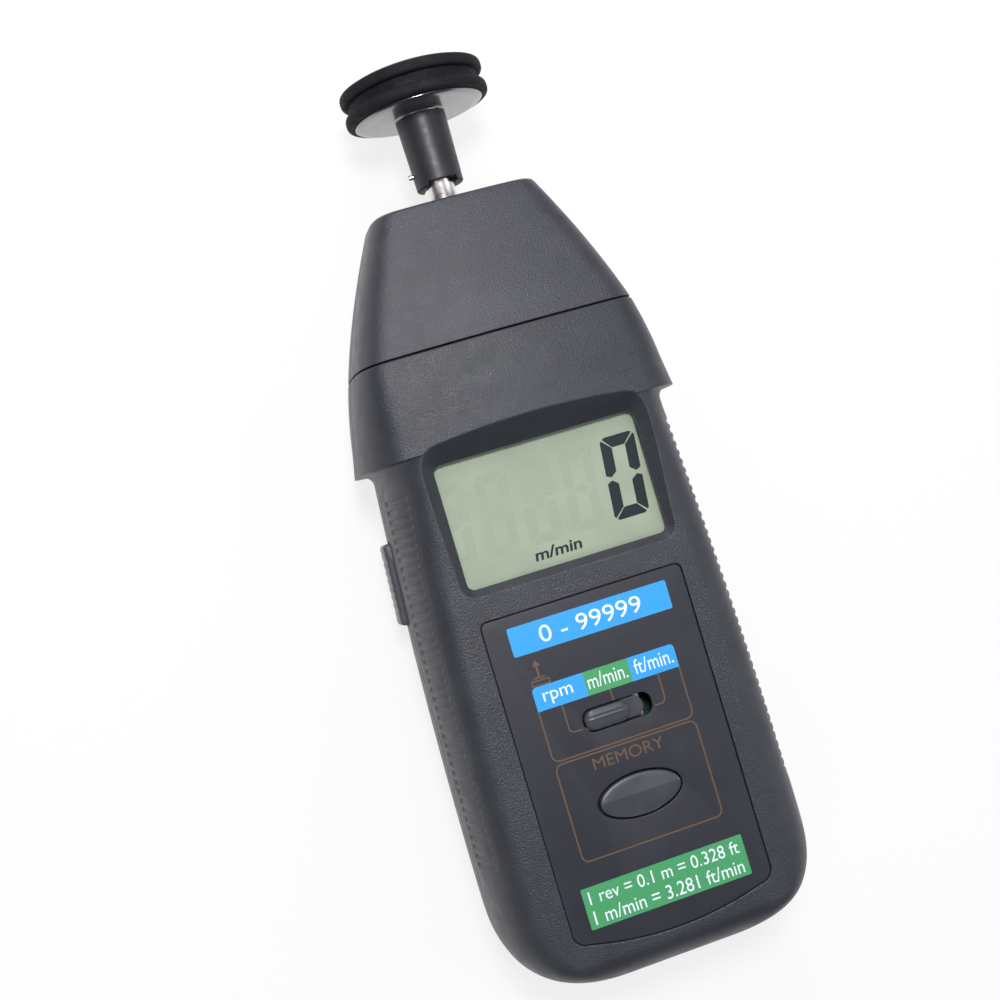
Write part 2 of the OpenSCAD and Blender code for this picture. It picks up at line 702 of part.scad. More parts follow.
module rear_case() {
    color([0.26, 0.27, 0.3]) difference() {
        union() {
            difference() {
                case_form_back();
                difference() {
                    loft([for (y = cavity_stations) back_ring(y, wall, 3, over)]);
                    block(-case_w, case_w, end_y, bay_low_y - bay_wall, 0, pad_top);
                }
            }
            // Walls and roof of the battery bay
            block(-bay_half + bay_wall, bay_half - bay_wall, bay_low_y - bay_wall, bay_low_y,
                wall, bay_top + bay_wall / 2);
            block(-bay_half - bay_wall, bay_half + bay_wall, bay_high_y, bay_high_y + bay_wall,
                wall / 2, bay_top + bay_wall / 2);
            block(-bay_half - bay_wall, bay_half + bay_wall, bay_low_y - bay_wall, bay_high_y + bay_wall,
                bay_top, bay_top + bay_wall);
            for (p = case_screw_places) {
                post(p.x, p.y, seat_boss_r, wall / 2, screw_seat_z + bay_wall);
                post(p.x, p.y, boss_r, screw_seat_z, split_h);
            }
            // Tongue that reaches into the nose cap, on its web
            block(-nose_tongue_half, nose_tongue_half, seam_y - nose_tongue_back, seam_y + nose_tongue_front,
                nose_tongue_low, nose_tongue_high);
            block(-nose_tongue_half, nose_tongue_half, seam_y - nose_tongue_back,
                seam_y - nose_tongue_back + wall, wall / 2, nose_tongue_high);
        }
        for (p = case_screw_places) {
            post(p.x, p.y, screw_head_r + slip_gap, -over, screw_seat_z);
            post(p.x, p.y, screw_r + seat_gap, 0, split_h + over);
        }
        for (side = [-1, 1]) post(side * cap_screw_x, cap_screw_y, cap_screw_r + run_fit,
            nose_tongue_low - over, nose_tongue_high + over);
        // Recess, opening and guide grooves of the battery cover
        block(-cover_half - cover_gap, cover_half + cover_gap, end_y - over, cover_top_y + cover_gap,
            -over, cover_t + slip_gap);
        block(-cover_half - cover_gap, cover_half + cover_gap, bay_low_y, bay_high_y, -over, wall + over);
        block(-cover_half - cover_gap - tongue_w - cover_gap, cover_half + cover_gap + tongue_w + cover_gap,
            end_y - over, bay_high_y + cover_gap, tongue_low - cover_gap, tongue_high + cover_gap);
        block(-click_half - slip_gap, click_half + slip_gap, bay_high_y - over, cover_top_y + cover_gap,
            -over, cover_t + click_rise + slip_gap);
        // Solder tails of the battery contacts
        for (side = [-1, 1], middle = tail_middle(side)) block(middle - tail_half - seat_gap,
            middle + tail_half + seat_gap, bay_high_y - over, bay_high_y + bay_wall + over,
            cell_z - seat_gap, cell_z + plate_t + seat_gap);
        // Opening of the side button
        block(-case_w, -button_seat_x, button_low_y - button_gap, button_high_y + button_gap,
            button_low_z - button_gap, button_high_z + button_gap);
        block(-button_seat_x - slip_gap, -button_seat_x + button_flange_t + button_travel + slip_gap,
            button_low_y - button_flange - slip_gap, button_high_y + button_flange + slip_gap,
            button_low_z - button_flange - slip_gap, split_h + over);
    }
}
function cell_x(i) = cell_pitch * (i - (cell_count - 1) / 2);
function tail_middle(side) = side * (cell_x(cell_count - 1) - tail_x);

module battery_cover() {
    color([0.26, 0.27, 0.3]) {
        intersection() {
            case_form_back();
            block(-cover_half, cover_half, end_y - over, cover_top_y, -over, cover_t);
        }
        for (side = [-1, 1]) block(side * (cover_half + (tongue_w - over) / 2) - (tongue_w + over) / 2,
            side * (cover_half + (tongue_w - over) / 2) + (tongue_w + over) / 2,
            bay_low_y, bay_high_y, tongue_low, tongue_high);
        block(-click_half, click_half, bay_high_y - bay_wall, cover_top_y - over, cover_t - over,
            cover_t + click_rise);
        block(-click_half, click_half, bay_high_y - bay_wall, cover_top_y + click_reach,
            cover_t + click_rise - click_t, cover_t + click_rise);
    }
}

module head_cap() {
    color([0.29, 0.29, 0.33]) difference() {
        union() {
            difference() {
                loft([for (y = cap_stations) whole_ring(y, 0, front_steps, 5)]);
                loft([for (y = cap_cavity_stations) whole_ring(y, wall, 5, 3)]);
            }
            for (side = [-1, 1]) {
                rod_y(side * flange_screw_x, split_h, flange_post_r, flange_front_y, nose_y - wall / 2);
                post(side * cap_screw_x, cap_screw_y, cap_post_r, cap_screw_seat_z - wall / 3, nose_tongue_low);
            }
        }
        rod_y(0, split_h, nose_hole_r, nose_y - wall - over, nose_y + over);
        for (side = [-1, 1]) {
            rod_y(side * flange_screw_x, split_h, flange_screw_r + run_fit, flange_front_y - over,
                nose_y - wall / 2);
            post(side * cap_screw_x, cap_screw_y, cap_screw_head_r + cover_gap, 0, cap_screw_seat_z);
            post(side * cap_screw_x, cap_screw_y, cap_screw_r + seat_gap, 0, nose_tongue_low + over);
        }
    }
}

module panel_overlay() {
    color([0.19, 0.2, 0.24]) difference() {
        slab(panel_outline(0), panel_seat_z, panel_top_z);
        slab(span_outline(slot_left, slot_right, slot_h / 2, slot_r), panel_seat_z - over, panel_top_z + over);
        on_outline(oval(key_l, key_h), [0, -key_y], panel_seat_z - over, panel_top_z + over);
    }
}

module display_window() {
    color([0.8, 0.86, 0.8, 0.4])
        on_outline(round_rect(window_w, window_h, lcd_r), [0, lcd_y], window_low, window_top);
}

module lcd_glass() {
    color([0.68, 0.72, 0.62])
        on_outline(round_rect(glass_w, glass_h, lcd_r / 2), [0, lcd_y], glass_low, glass_top);
}

module lcd_holder() {
    color([0.85, 0.85, 0.8]) difference() {
        on_outline(round_rect(holder_w, holder_h, lcd_r / 2), [0, lcd_y], board_top, glass_low);
        on_outline(round_rect(holder_w - 2 * holder_bar, holder_h - 2 * holder_end_bar, lcd_r / 2), [0, lcd_y],
            board_top - over, glass_low + over);
    }
}

module lcd_contact_strips() {
    place = holder_h / 2 - holder_end_bar - strip_w / 2 - seat_gap;
    color([0.85, 0.5, 0.55]) for (side = [-1, 1])
        block(-strip_l / 2, strip_l / 2, lcd_y + side * place - strip_w / 2, lcd_y + side * place + strip_w / 2,
            board_top, glass_low);
}

module mode_knob() {
    grip_top = panel_top_z + grip_rise;
    ridge_y = knob_half / 3;
    color([0.33, 0.34, 0.37]) {
        slab(span_outline(knob_left, apron_right, knob_half, knob_r), apron_top - apron_t, apron_top);
        // Grip with a roof and two ridges along it
        intersection() {
            slab(span_outline(knob_left, knob_left + grip_l, knob_half, knob_r), apron_top - apron_t / 2,
                grip_top + over);
            translate([knob_left, -slot_y, 0]) rotate([90, 0, 90]) linear_extrude(grip_l) polygon([
                [-knob_half, apron_top - apron_t / 2], [knob_half, apron_top - apron_t / 2],
                [knob_half, panel_top_z], [knob_half * outer_ridge_share, grip_top - ridge_y / 2],
                [ridge_y, grip_top], [ridge_y / 2, grip_top - ridge_y / 2], [0, grip_top],
                [-knob_half, panel_top_z]]);
        }
        block(lever_x - lever_half_l - fork_wall, lever_x + lever_half_l + fork_wall,
            -slot_y - lever_half - fork_wall, -slot_y + lever_half + fork_wall,
            board_top + mode_body_h + slip_gap, apron_top - apron_t / 2);
    }
}

module mode_switch_lever() {
    color([0.1, 0.1, 0.11]) block(lever_x - lever_half_l, lever_x + lever_half_l, -slot_y - lever_half,
        -slot_y + lever_half, board_top + mode_body_h - lever_sink, board_top + mode_body_h + slip_gap);
}

module mode_switch_body() {
    color([0.75, 0.76, 0.78]) difference() {
        block(mode_body_x - mode_body_l / 2, mode_body_x + mode_body_l / 2, -slot_y - mode_body_half,
            -slot_y + mode_body_half, board_top, board_top + mode_body_h);
        block(lever_x - lever_half_l - slip_gap, lever_x + lever_half_l + slide_travel + slip_gap,
            -slot_y - lever_half - run_fit * 2, -slot_y + lever_half + run_fit * 2,
            board_top + mode_body_h - lever_sink - slip_gap, board_top + mode_body_h + over);
    }
}

module memory_key() {
    top = panel_top_z + key_rise;
    half = key_h / 2 - key_gap;
    color([0.33, 0.34, 0.38]) {
        intersection() {
            on_outline(oval(key_l - 2 * key_gap, key_h - 2 * key_gap), [0, -key_y], key_flange_low, top + over);
            translate([-key_l / 2, -key_y, 0]) rotate([90, 0, 90]) linear_extrude(key_l) polygon([
                [-half, key_flange_low], [half, key_flange_low], [half, top - key_edge_drop], [0, top],
                [-half, top - key_edge_drop]]);
        }
        on_outline(oval(key_l + 2 * key_flange, key_h + 2 * key_flange), [0, -key_y],
            key_flange_low, key_flange_top);
    }
}

module memory_switch_body() {
    color([0.12, 0.12, 0.13]) difference() {
        block(-tact_half, tact_half, -key_y - tact_half, -key_y + tact_half, board_top, board_top + tact_h);
        post(0, -key_y, tact_plunger_r + run_fit, board_top + tact_h - tact_sink - key_travel - slip_gap,
            board_top + tact_h + over);
    }
}

module memory_switch_plunger() {
    color([0.8, 0.2, 0.15]) post(0, -key_y, tact_plunger_r, board_top + tact_h - tact_sink, key_flange_low);
}

module measure_button() {
    color([0.33, 0.34, 0.37]) {
        // Cap whose face follows the flank of the case
        slab(concat([for (s = button_face_shares) let(y = button_low_y + button_l * s)
            [-half_w(y) - button_proud, y]],
            [for (y = [button_high_y, button_low_y]) [button_flange_t / 2 - button_seat_x, y]]),
            button_low_z, button_high_z);
        block(-button_seat_x, -button_seat_x + button_flange_t, button_low_y - button_flange,
            button_high_y + button_flange, button_low_z - button_flange, button_high_z + button_flange);
        block(-button_seat_x + finger_inset, -button_seat_x + finger_t, button_y - finger_half, button_y + finger_half,
            button_z, finger_top);
        block(-button_seat_x + finger_t / 2, -nub_x, button_y - nub_half, button_y + nub_half,
            nub_z - nub_half, nub_z + nub_half);
    }
}

module measure_switch_body() {
    front = -nub_x + side_switch_gap;
    color([0.12, 0.12, 0.13]) difference() {
        block(front, front + side_switch_l, button_y - side_switch_half, button_y + side_switch_half,
            board_z - side_switch_h, board_z);
        rod_x(button_y, nub_z, side_plunger_half + run_fit, front - over,
            front + side_plunger_sink + button_travel + slip_gap);
    }
}

module measure_switch_plunger() {
    front = -nub_x + side_switch_gap;
    color([0.8, 0.2, 0.15]) rod_x(button_y, nub_z, side_plunger_half, -nub_x, front + side_plunger_sink);
}

// Rubber lip as half an ellipse of the tyre's profile
function lip(y) = [for (a = [-90 : 15 : 90])
    [wheel_r - groove_depth + groove_depth * cos(a), y + lip_w / 2 * sin(a)]];

module wheel_tyre() {
    color([0.11, 0.11, 0.12]) translate([0, 0, split_h]) rotate([-90, 0, 0]) rotate_extrude() polygon(concat(
        [[tyre_seat_r + run_fit, tyre_low_y]], lip(low_lip_y), lip(high_lip_y),
        [[tyre_seat_r + run_fit, tyre_high_y]]));
}

module wheel_hub() {
    color([0.15, 0.15, 0.17]) difference() {
        turned_y(0) polygon([
            [0, hub_low_y], [hub_tip_r, hub_low_y], [hub_r, wheel_face_y - hub_fillet],
            [hub_r + hub_fillet / 3, wheel_face_y], [wheel_face_r, wheel_face_y],
            [rim_flange_r, tyre_low_y - rim_flange_t], [rim_flange_r, tyre_low_y - run_fit],
            [tyre_seat_r, tyre_low_y - run_fit], [tyre_seat_r, tyre_high_y + run_fit],
            [rim_flange_r, tyre_high_y + run_fit], [rim_flange_r, tyre_high_y + rim_flange_t],
            [rim_flange_r * dome_share, tyre_high_y + rim_flange_t + wheel_dome * dome_share],
            [0, tyre_high_y + rim_flange_t + wheel_dome]]);
        turned_y(0) polygon([[0, hub_low_y - over], [shaft_r + run_fit, hub_low_y - over],
            [shaft_r + run_fit, shaft_front_y + bore_end_gap], [0, shaft_front_y + bore_end_gap]]);
        block(-hub_notch_half, hub_notch_half, hub_low_y - over, hub_low_y + hub_notch_h,
            split_h - hub_r, split_h + hub_r);
        rod_x(hub_pin_y, split_h, hub_pin_r + press_fit, -hub_r - over, 0);
    }
}

module hub_grip_pin() {
    color([0.75, 0.75, 0.77]) rod_x(hub_pin_y, split_h, hub_pin_r, -hub_tip_r - hub_pin_proud,
        -shaft_r - run_fit * 3);
}

module spindle_shaft() {
    shoulder_y = front_bearing_y + bearing_w;
    ring_y = rear_bearing_y - ring_t;
    color([0.78, 0.77, 0.78]) turned_y(0) polygon([
        [0, shaft_rear_y], [journal_r - shaft_chamfer, shaft_rear_y], [journal_r, shaft_rear_y + shaft_chamfer],
        [journal_r, ring_y], [journal_r - ring_groove_depth, ring_y],
        [journal_r - ring_groove_depth, rear_bearing_y], [journal_r, rear_bearing_y],
        [journal_r, shoulder_y], [shaft_r, shoulder_y], [shaft_r, shaft_front_y - shaft_chamfer],
        [shaft_r - shaft_chamfer, shaft_front_y], [0, shaft_front_y]]);
}

module encoder_disc() {
    color([0.2, 0.2, 0.22]) difference() {
        turned_y(0) polygon([[journal_r + press_fit, disc_y], [disc_r, disc_y], [disc_r, disc_y + disc_t],
            [journal_r + press_fit, disc_y + disc_t]]);
        for (i = [0 : disc_slots - 1])
            translate([0, disc_y - over, split_h]) rotate([0, 360 / disc_slots * i, 0])
            translate([-disc_slot_w / 2, 0, disc_slot_low])
                cube([disc_slot_w, disc_t + 2 * over, disc_slot_high - disc_slot_low]);
    }
}

module disc_hub() {
    low = disc_y + disc_t;
    color([0.8, 0.66, 0.35]) turned_y(0) polygon([[journal_r + press_fit, low], [disc_hub_r, low],
        [disc_hub_r, low + disc_hub_l], [journal_r + press_fit, low + disc_hub_l]]);
}

module bearing_spacer() {
    low = rear_bearing_y + bearing_w;
    color([0.72, 0.72, 0.74]) turned_y(0) polygon([[journal_r + press_fit, low], [journal_r + race_t, low],
        [journal_r + race_t, front_bearing_y], [journal_r + press_fit, front_bearing_y]]);
}

module retaining_ring() {
    inner = journal_r - ring_groove_depth + press_fit;
    low = rear_bearing_y - ring_t;
    color([0.3, 0.3, 0.32]) difference() {
        turned_y(0) polygon([[inner, low], [ring_r, low], [ring_r, rear_bearing_y], [inner, rear_bearing_y]]);
        block(-inner, inner, low - over, rear_bearing_y + over, split_h - ring_r - over, split_h);
    }
}

module bearing_housing() {
    pocket = bearing_r + press_fit;
    middle = bearing_r - housing_shoulder;
    flange_low = flange_front_y - flange_t;
    color([0.62, 0.63, 0.66]) difference() {
        union() {
            rod_y(0, split_h, housing_r, housing_rear_y, housing_front_y);
            block(-flange_half_x, flange_half_x, flange_low, flange_front_y,
                split_h - flange_half_z, split_h + flange_half_z);
        }
        rod_y(0, split_h, middle, housing_rear_y - over, housing_front_y + over);
        rod_y(0, split_h, pocket, housing_rear_y - over, rear_bearing_y + bearing_w);
        rod_y(0, split_h, pocket, front_bearing_y, housing_front_y + over);
        for (side = [-1, 1]) rod_y(side * flange_screw_x, split_h, flange_screw_r + seat_gap,
            flange_low - over, flange_front_y + over);
    }
}

drive_floor_share = 0.6;
module housing_screws() {
    seat = flange_front_y - flange_t;
    color([0.7, 0.7, 0.72]) for (side = [-1, 1]) difference() {
        union() {
            rod_y(side * flange_screw_x, split_h, flange_screw_head_r, seat - flange_screw_head_h, seat);
            rod_y(side * flange_screw_x, split_h, flange_screw_r, seat - over, nose_y - wall / 2 - slip_gap);
        }
        block(side * flange_screw_x - flange_screw_head_r, side * flange_screw_x + flange_screw_head_r,
            seat - flange_screw_head_h - over, seat - flange_screw_head_h * drive_floor_share,
            split_h - flange_screw_r / 4, split_h + flange_screw_r / 4);
    }
}

module dust_seal() {
    color([0.16, 0.16, 0.17]) turned_y(0) polygon([
        [shaft_r + run_fit, housing_front_y], [seal_r, housing_front_y],
        [seal_r, nose_y - wall], [shaft_r + run_fit, nose_y - wall]]);
}

// Parts of a ball bearing whose rear face is at y
module bearing_outer(y) {
    color([0.74, 0.75, 0.77]) turned_y(y) difference() {
        translate([bearing_r - race_t, 0]) square([race_t, bearing_w]);
        translate([pitch_r, bearing_w / 2]) circle(r = ball_d / 2 + groove_gap);
    }
}
module bearing_inner(y) {
    color([0.74, 0.75, 0.77]) turned_y(y) difference() {
        translate([journal_r + press_fit, 0]) square([race_t - press_fit, bearing_w]);
        translate([pitch_r, bearing_w / 2]) circle(r = ball_d / 2 + groove_gap);
    }
}
module bearing_balls(y) {
    color([0.85, 0.85, 0.87]) for (i = [0 : ball_count - 1]) translate([0, y + bearing_w / 2, split_h])
        rotate([0, 360 / ball_count * i, 0]) translate([0, 0, pitch_r]) sphere(r = ball_d / 2);
}
module bearing_cage(y) {
    color([0.75, 0.6, 0.3]) difference() {
        turned_y(y + bearing_w / 2 - cage_w / 2) translate([pitch_r - cage_t / 2, 0]) square([cage_t, cage_w]);
        for (i = [0 : ball_count - 1]) translate([0, y + bearing_w / 2, split_h])
            rotate([0, 360 / ball_count * i, 0]) cylinder(r = ball_d / 2 + groove_gap, h = bearing_r);
    }
}
module front_bearing_outer() {
    bearing_outer(front_bearing_y);
}
module front_bearing_inner() {
    bearing_inner(front_bearing_y);
}
module front_bearing_balls() {
    bearing_balls(front_bearing_y);
}
module front_bearing_cage() {
    bearing_cage(front_bearing_y);
}
module rear_bearing_outer() {
    bearing_outer(rear_bearing_y);
}
module rear_bearing_inner() {
    bearing_inner(rear_bearing_y);
}
module rear_bearing_balls() {
    bearing_balls(rear_bearing_y);
}
module rear_bearing_cage() {
    bearing_cage(rear_bearing_y);
}

module main_board() {
    color([0.12, 0.36, 0.2]) difference() {
        on_outline(round_rect(2 * board_half, board_high_y - board_low_y, wall),
            [0, (board_high_y + board_low_y) / 2], board_z, board_top);
        for (p = case_screw_places) post(p.x, p.y, boss_r + slip_gap, board_z - over, board_top + over);
        for (p = board_screw_places) post(p.x, p.y, board_screw_r + seat_gap, board_z - over, board_top + over);
    }
}

// Parts under the board: a chip with its legs, the crystal, capacitors and chip resistors
chip_half = 6;
chip_t = 1.8;
chip_x = -6;
chip_y = 22;
leg_w = 0.5;
leg_l = 1.2;
leg_t = 0.4;
leg_count = 9;
leg_pitch = 1.2;
module controller_chip() {
    color([0.08, 0.08, 0.09]) block(chip_x - chip_half, chip_x + chip_half,
        chip_y - chip_half, chip_y + chip_half, board_z - chip_t, board_z);
    color([0.75, 0.75, 0.77]) for (turn = [0 : 90 : 270], i = [0 : leg_count - 1])
        translate([chip_x, chip_y, board_z - leg_t]) rotate([0, 0, turn])
            translate([chip_half - over, leg_pitch * (i - (leg_count - 1) / 2) - leg_w / 2, 0])
                cube([leg_l + over, leg_w, leg_t]);
}

crystal_l = 11;
crystal_w = 4.6;
crystal_h = 3.6;
crystal_round_share = 0.45;
crystal_x = 13;
crystal_y = 30;
module timing_crystal() {
    color([0.78, 0.78, 0.8])
        on_outline(round_rect(crystal_l, crystal_w, crystal_w * crystal_round_share, 6),
            [crystal_x, crystal_y], board_z - crystal_h, board_z);
}

capacitor_r = 2.5;
capacitor_h = 7;
capacitor_x = 14;
capacitor_y = 8;
capacitor_pitch = 7;
capacitor_places = [[capacitor_x, capacitor_y], [capacitor_x + capacitor_pitch, capacitor_y],
    [capacitor_x, capacitor_y + capacitor_pitch]];
module capacitors() {
    color([0.1, 0.16, 0.34]) for (p = capacitor_places)
        post(p.x, p.y, capacitor_r, board_z - capacitor_h, board_z);
}

resistor_l = 3.2;
resistor_w = 1.6;
resistor_t = 0.6;
resistor_count = 8;
resistor_pitch = 2.6;
resistor_x = -10;
resistor_y = 3;
module resistors() {
    color([0.14, 0.14, 0.15]) for (i = [0 : resistor_count - 1])
        translate([resistor_x + resistor_pitch * i, resistor_y, board_z - resistor_t])
            cube([resistor_w, resistor_l, resistor_t]);
}

module photo_interrupter() {
    middle = disc_y + disc_t / 2;
    reach = sensor_gap / 2 + sensor_leg_t;
    leg_low = split_h + disc_hub_r + over;
    color([0.07, 0.07, 0.08]) difference() {
        block(-sensor_half_x, sensor_half_x, middle - reach, middle + reach, leg_low, board_z);
        block(-sensor_half_x - over, sensor_half_x + over, middle - sensor_gap / 2, middle + sensor_gap / 2,
            leg_low - over, board_z - sensor_base_t);
    }
}

// Screw that points up, with a cross in its head
module screw_up(p, seat_z, top_z, r, head_r, head_h) {
    difference() {
        union() {
            post(p.x, p.y, head_r, seat_z - head_h, seat_z);
            post(p.x, p.y, r, seat_z - head_h / 2, top_z);
        }
        block(p.x - head_r, p.x + head_r, p.y - r / 4, p.y + r / 4, seat_z - head_h - over,
            seat_z - head_h * drive_floor_share);
        block(p.x - r / 4, p.x + r / 4, p.y - head_r, p.y + head_r, seat_z - head_h - over,
            seat_z - head_h * drive_floor_share);
    }
}
module board_screws() {
    color([0.72, 0.72, 0.74]) for (p = board_screw_places)
        screw_up(p, board_z, board_z + board_screw_l, board_screw_r, board_screw_head_r, board_screw_head_h);
}
module case_screws() {
    color([0.5, 0.5, 0.52]) for (p = case_screw_places)
        screw_up(p, screw_seat_z, split_h + screw_reach, screw_r, screw_head_r, screw_head_h);
}
module cap_screws() {
    color([0.5, 0.5, 0.52]) for (side = [-1, 1])
        screw_up([side * cap_screw_x, cap_screw_y], cap_screw_seat_z, nose_tongue_high, cap_screw_r,
            cap_screw_head_r, cap_screw_head_h);
}

// Cells lie side by side and point up and down in turn
function cell_up(i) = i % 2 == 0;
function cell_base_y(i) = cell_up(i) ? bay_low_y + plate_t + spring_l + run_fit
    : bay_high_y - plate_t - spring_l - run_fit;
module from_base(i) {
    translate([cell_x(i), cell_base_y(i), cell_z]) rotate([cell_up(i) ? -90 : 90, 0, 0]) children();
}
module battery_cells() {
    color([0.2, 0.42, 0.3]) for (i = [0 : cell_count - 1]) from_base(i) {
        cylinder(r = cell_d / 2, h = cell_l - nub_l);
        cylinder(r = nub_r, h = cell_l);
    }
}
coil_rings = 12;
module coil() {
    steps = floor(spring_turns * coil_rings);
    function ring_at(j) = let(s = j / steps, a = 360 * j / coil_rings,
        r = spring_low_r + (spring_high_r - spring_low_r) * s,
        z = -spring_l + spring_wire_r + (spring_l - 2 * spring_wire_r) * s)
        [for (k = [0 : 5]) let(b = -60 * k) [(r + spring_wire_r * cos(b)) * cos(a),
            (r + spring_wire_r * cos(b)) * sin(a), z + spring_wire_r * sin(b)]];
    loft([for (j = [0 : steps]) ring_at(j)]);
}
module battery_springs() {
    color([0.75, 0.75, 0.72]) for (i = [0 : cell_count - 1]) from_base(i) coil();
}
module battery_spring_plates() {
    color([0.75, 0.75, 0.72]) for (i = [0 : cell_count - 1]) from_base(i)
        translate([-plate_w / 2, -plate_w / 2, -spring_l - run_fit - plate_t])
            cube([plate_w, plate_w, plate_t]);
    color([0.75, 0.75, 0.72]) tail(1);
}
module battery_tabs() {
    color([0.78, 0.72, 0.5]) for (i = [0 : cell_count - 1]) from_base(i)
        translate([-plate_w / 2, -plate_w / 2, cell_l + run_fit / 2]) cube([plate_w, plate_w, plate_t]);
    color([0.78, 0.72, 0.5]) tail(-1);
}
module tail(side) {
    middle = tail_middle(side);
    block(middle - tail_half, middle + tail_half, bay_high_y - plate_t, bay_high_y + bay_wall + tail_l,
        cell_z, cell_z + plate_t);
}

// Leads from the solder tails up to the board, as places along and above the tail
lead_r = 0.6;
lead_bend_r = 1.4;
lead_start_l = 1;
lead_rise = board_z - cell_z - plate_t / 2;
lead_route = concat([[0, 0]],
    [for (a = [0 : 30 : 90]) [lead_start_l + lead_bend_r * sin(a), lead_bend_r * (1 - cos(a))]],
    [[lead_start_l + lead_bend_r, lead_rise]]);
module lead(side) {
    n = len(lead_route);
    function heading(j) = let(d = lead_route[min(j + 1, n - 1)] - lead_route[max(j - 1, 0)]) d / norm(d);
    start = [tail_middle(side), bay_high_y + bay_wall + tail_l, cell_z + plate_t / 2];
    translate(start) loft([for (j = [0 : n - 1]) let(t = heading(j))
        [for (k = [0 : 7]) let(b = 45 * k) [lead_r * cos(b), lead_route[j].x - lead_r * sin(b) * t.y,
            lead_route[j].y + lead_r * sin(b) * t.x]]]);
}
module positive_lead() {
    color([0.75, 0.1, 0.1]) lead(-1);
}
module negative_lead() {
    color([0.08, 0.08, 0.08]) lead(1);
}

head_cap();
front_case();
rear_case();
battery_cover();
panel_overlay();
display_window();
mode_knob();
memory_key();
measure_button();
wheel_hub();
wheel_tyre();
hub_grip_pin();
spindle_shaft();
encoder_disc();
disc_hub();
bearing_spacer();
retaining_ring();
bearing_housing();
housing_screws();
dust_seal();
front_bearing_outer();
front_bearing_inner();
front_bearing_balls();
front_bearing_cage();
rear_bearing_outer();
rear_bearing_inner();
rear_bearing_balls();
rear_bearing_cage();
main_board();
lcd_glass();
lcd_holder();
lcd_contact_strips();
controller_chip();
timing_crystal();
capacitors();
resistors();
mode_switch_body();
mode_switch_lever();
memory_switch_body();
memory_switch_plunger();
measure_switch_body();
measure_switch_plunger();
photo_interrupter();
board_screws();
case_screws();
cap_screws();
battery_cells();
battery_springs();
battery_spring_plates();
battery_tabs();
positive_lead();
negative_lead();
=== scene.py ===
"""Looks of a hand-held contact tachometer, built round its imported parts. Sizes are in millimetres."""

import json
import math

import bmesh
import bpy
import numpy as np
from mathutils import Matrix, Vector


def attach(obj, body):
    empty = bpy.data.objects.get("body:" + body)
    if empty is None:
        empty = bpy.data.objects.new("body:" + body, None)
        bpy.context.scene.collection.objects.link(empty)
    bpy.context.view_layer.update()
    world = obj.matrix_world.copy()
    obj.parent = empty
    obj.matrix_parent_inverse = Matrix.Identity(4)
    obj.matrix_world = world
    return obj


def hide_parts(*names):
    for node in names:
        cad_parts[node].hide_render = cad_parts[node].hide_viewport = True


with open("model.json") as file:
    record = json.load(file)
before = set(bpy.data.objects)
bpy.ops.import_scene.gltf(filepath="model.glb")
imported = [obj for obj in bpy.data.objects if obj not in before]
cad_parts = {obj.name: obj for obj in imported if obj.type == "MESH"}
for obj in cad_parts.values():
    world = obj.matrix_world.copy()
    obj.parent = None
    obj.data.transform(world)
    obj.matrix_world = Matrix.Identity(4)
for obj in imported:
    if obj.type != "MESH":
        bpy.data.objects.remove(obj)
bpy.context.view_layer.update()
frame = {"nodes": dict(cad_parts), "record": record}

MM = 0.001

# Case, as the construction has it
CASE_L, CASE_W, WAIST_W, WIDE_FROM_END, LINE_SHIFT = 167.6, 70.4, 63.2, 23.8, 0.8
SPLIT_H, FRONT_H, WALL, SHOULDER_W, BACK_ROUND, END_ROUND = 19, 17.6, 2.2, 9, 5, 8
HOOD_L, HOOD_W, TIP_FLICK, NOSE_W, NOSE_H, NOSE_RISE = 50.6, 71.2, 0.7, 36.4, 12.4, 6
CROWN_H, CAP_L, SEAM_GAP = 3, 30.4, 0.25
NOSE_Y, END_Y = CASE_L / 2 - LINE_SHIFT, -CASE_L / 2 - LINE_SHIFT
TIP_Y, SEAM_Y, WIDE_Y = NOSE_Y - HOOD_L, NOSE_Y - CAP_L, END_Y + WIDE_FROM_END
FACE_Z = SPLIT_H + FRONT_H
HOOD_BULGE, WAIST_BULGE, END_PLAN_POWER, EDGE_POWER, BACK_POWER = 1.6, 0.9, 3.2, 2.3, 2.6
UNDERCUT_L = 3.4

# Display, panel and keys
LCD_W, LCD_H, LCD_Y, LCD_R, LCD_DEPTH = 44.1, 26.6, 16.2, 1.6, 1.4
BEZEL_SLOPE, SLOPE_FROM_X, SLOPE_TO_X = 0.84, 20.6, 25.8
PANEL_W, PANEL_TOP, PANEL_LOW, PANEL_SAG, PANEL_R, PANEL_LOW_R = 44.2, -4.1, -73, 2.6, 1.4, 2.8
PANEL_TOP_Z, PANEL_SEAT_Z, PANEL_GAP = 36.3, 35.5, 0.12
SLOT_X, SLOT_Y, SLOT_L, SLOT_H, SLOT_R = 0.3, -29.75, 15.2, 4.9, 2.1
KEY_Y, KEY_L, KEY_H, KEY_GAP = -47.2, 18.6, 9.3, 0.4
KNOB_GAP, KNOB_L, APRON_HALF = 0.3, 9.9, 6.6

GLASS_TOP_Z = 33.3
PANE_LOW_Z, PANE_TOP_Z, PANE_RIM, PANE_SEAT_RIM = 33.4, 34.6, 2, 2.1

# Groove along the parting line, rounding at the seam, half width there
PART_LINE, PART_LINE_REACH = 0.26, 0.35
SEAM_ROUND, SEAM_ROUND_L, SEAM_HALF = 0.4, 0.5, 31
# Half width of cutters that reach out of the case, and levels of those in its front wall
BEYOND = 40
WALL_LOW_Z, OPEN_TOP_Z, HOLE_LOW_Z, HOLE_TOP_Z = 33, 38, 33.5, 36

# Stations of the skins lie close where the shape turns quickly, but never closer than this
LEAST_STEP = 0.018
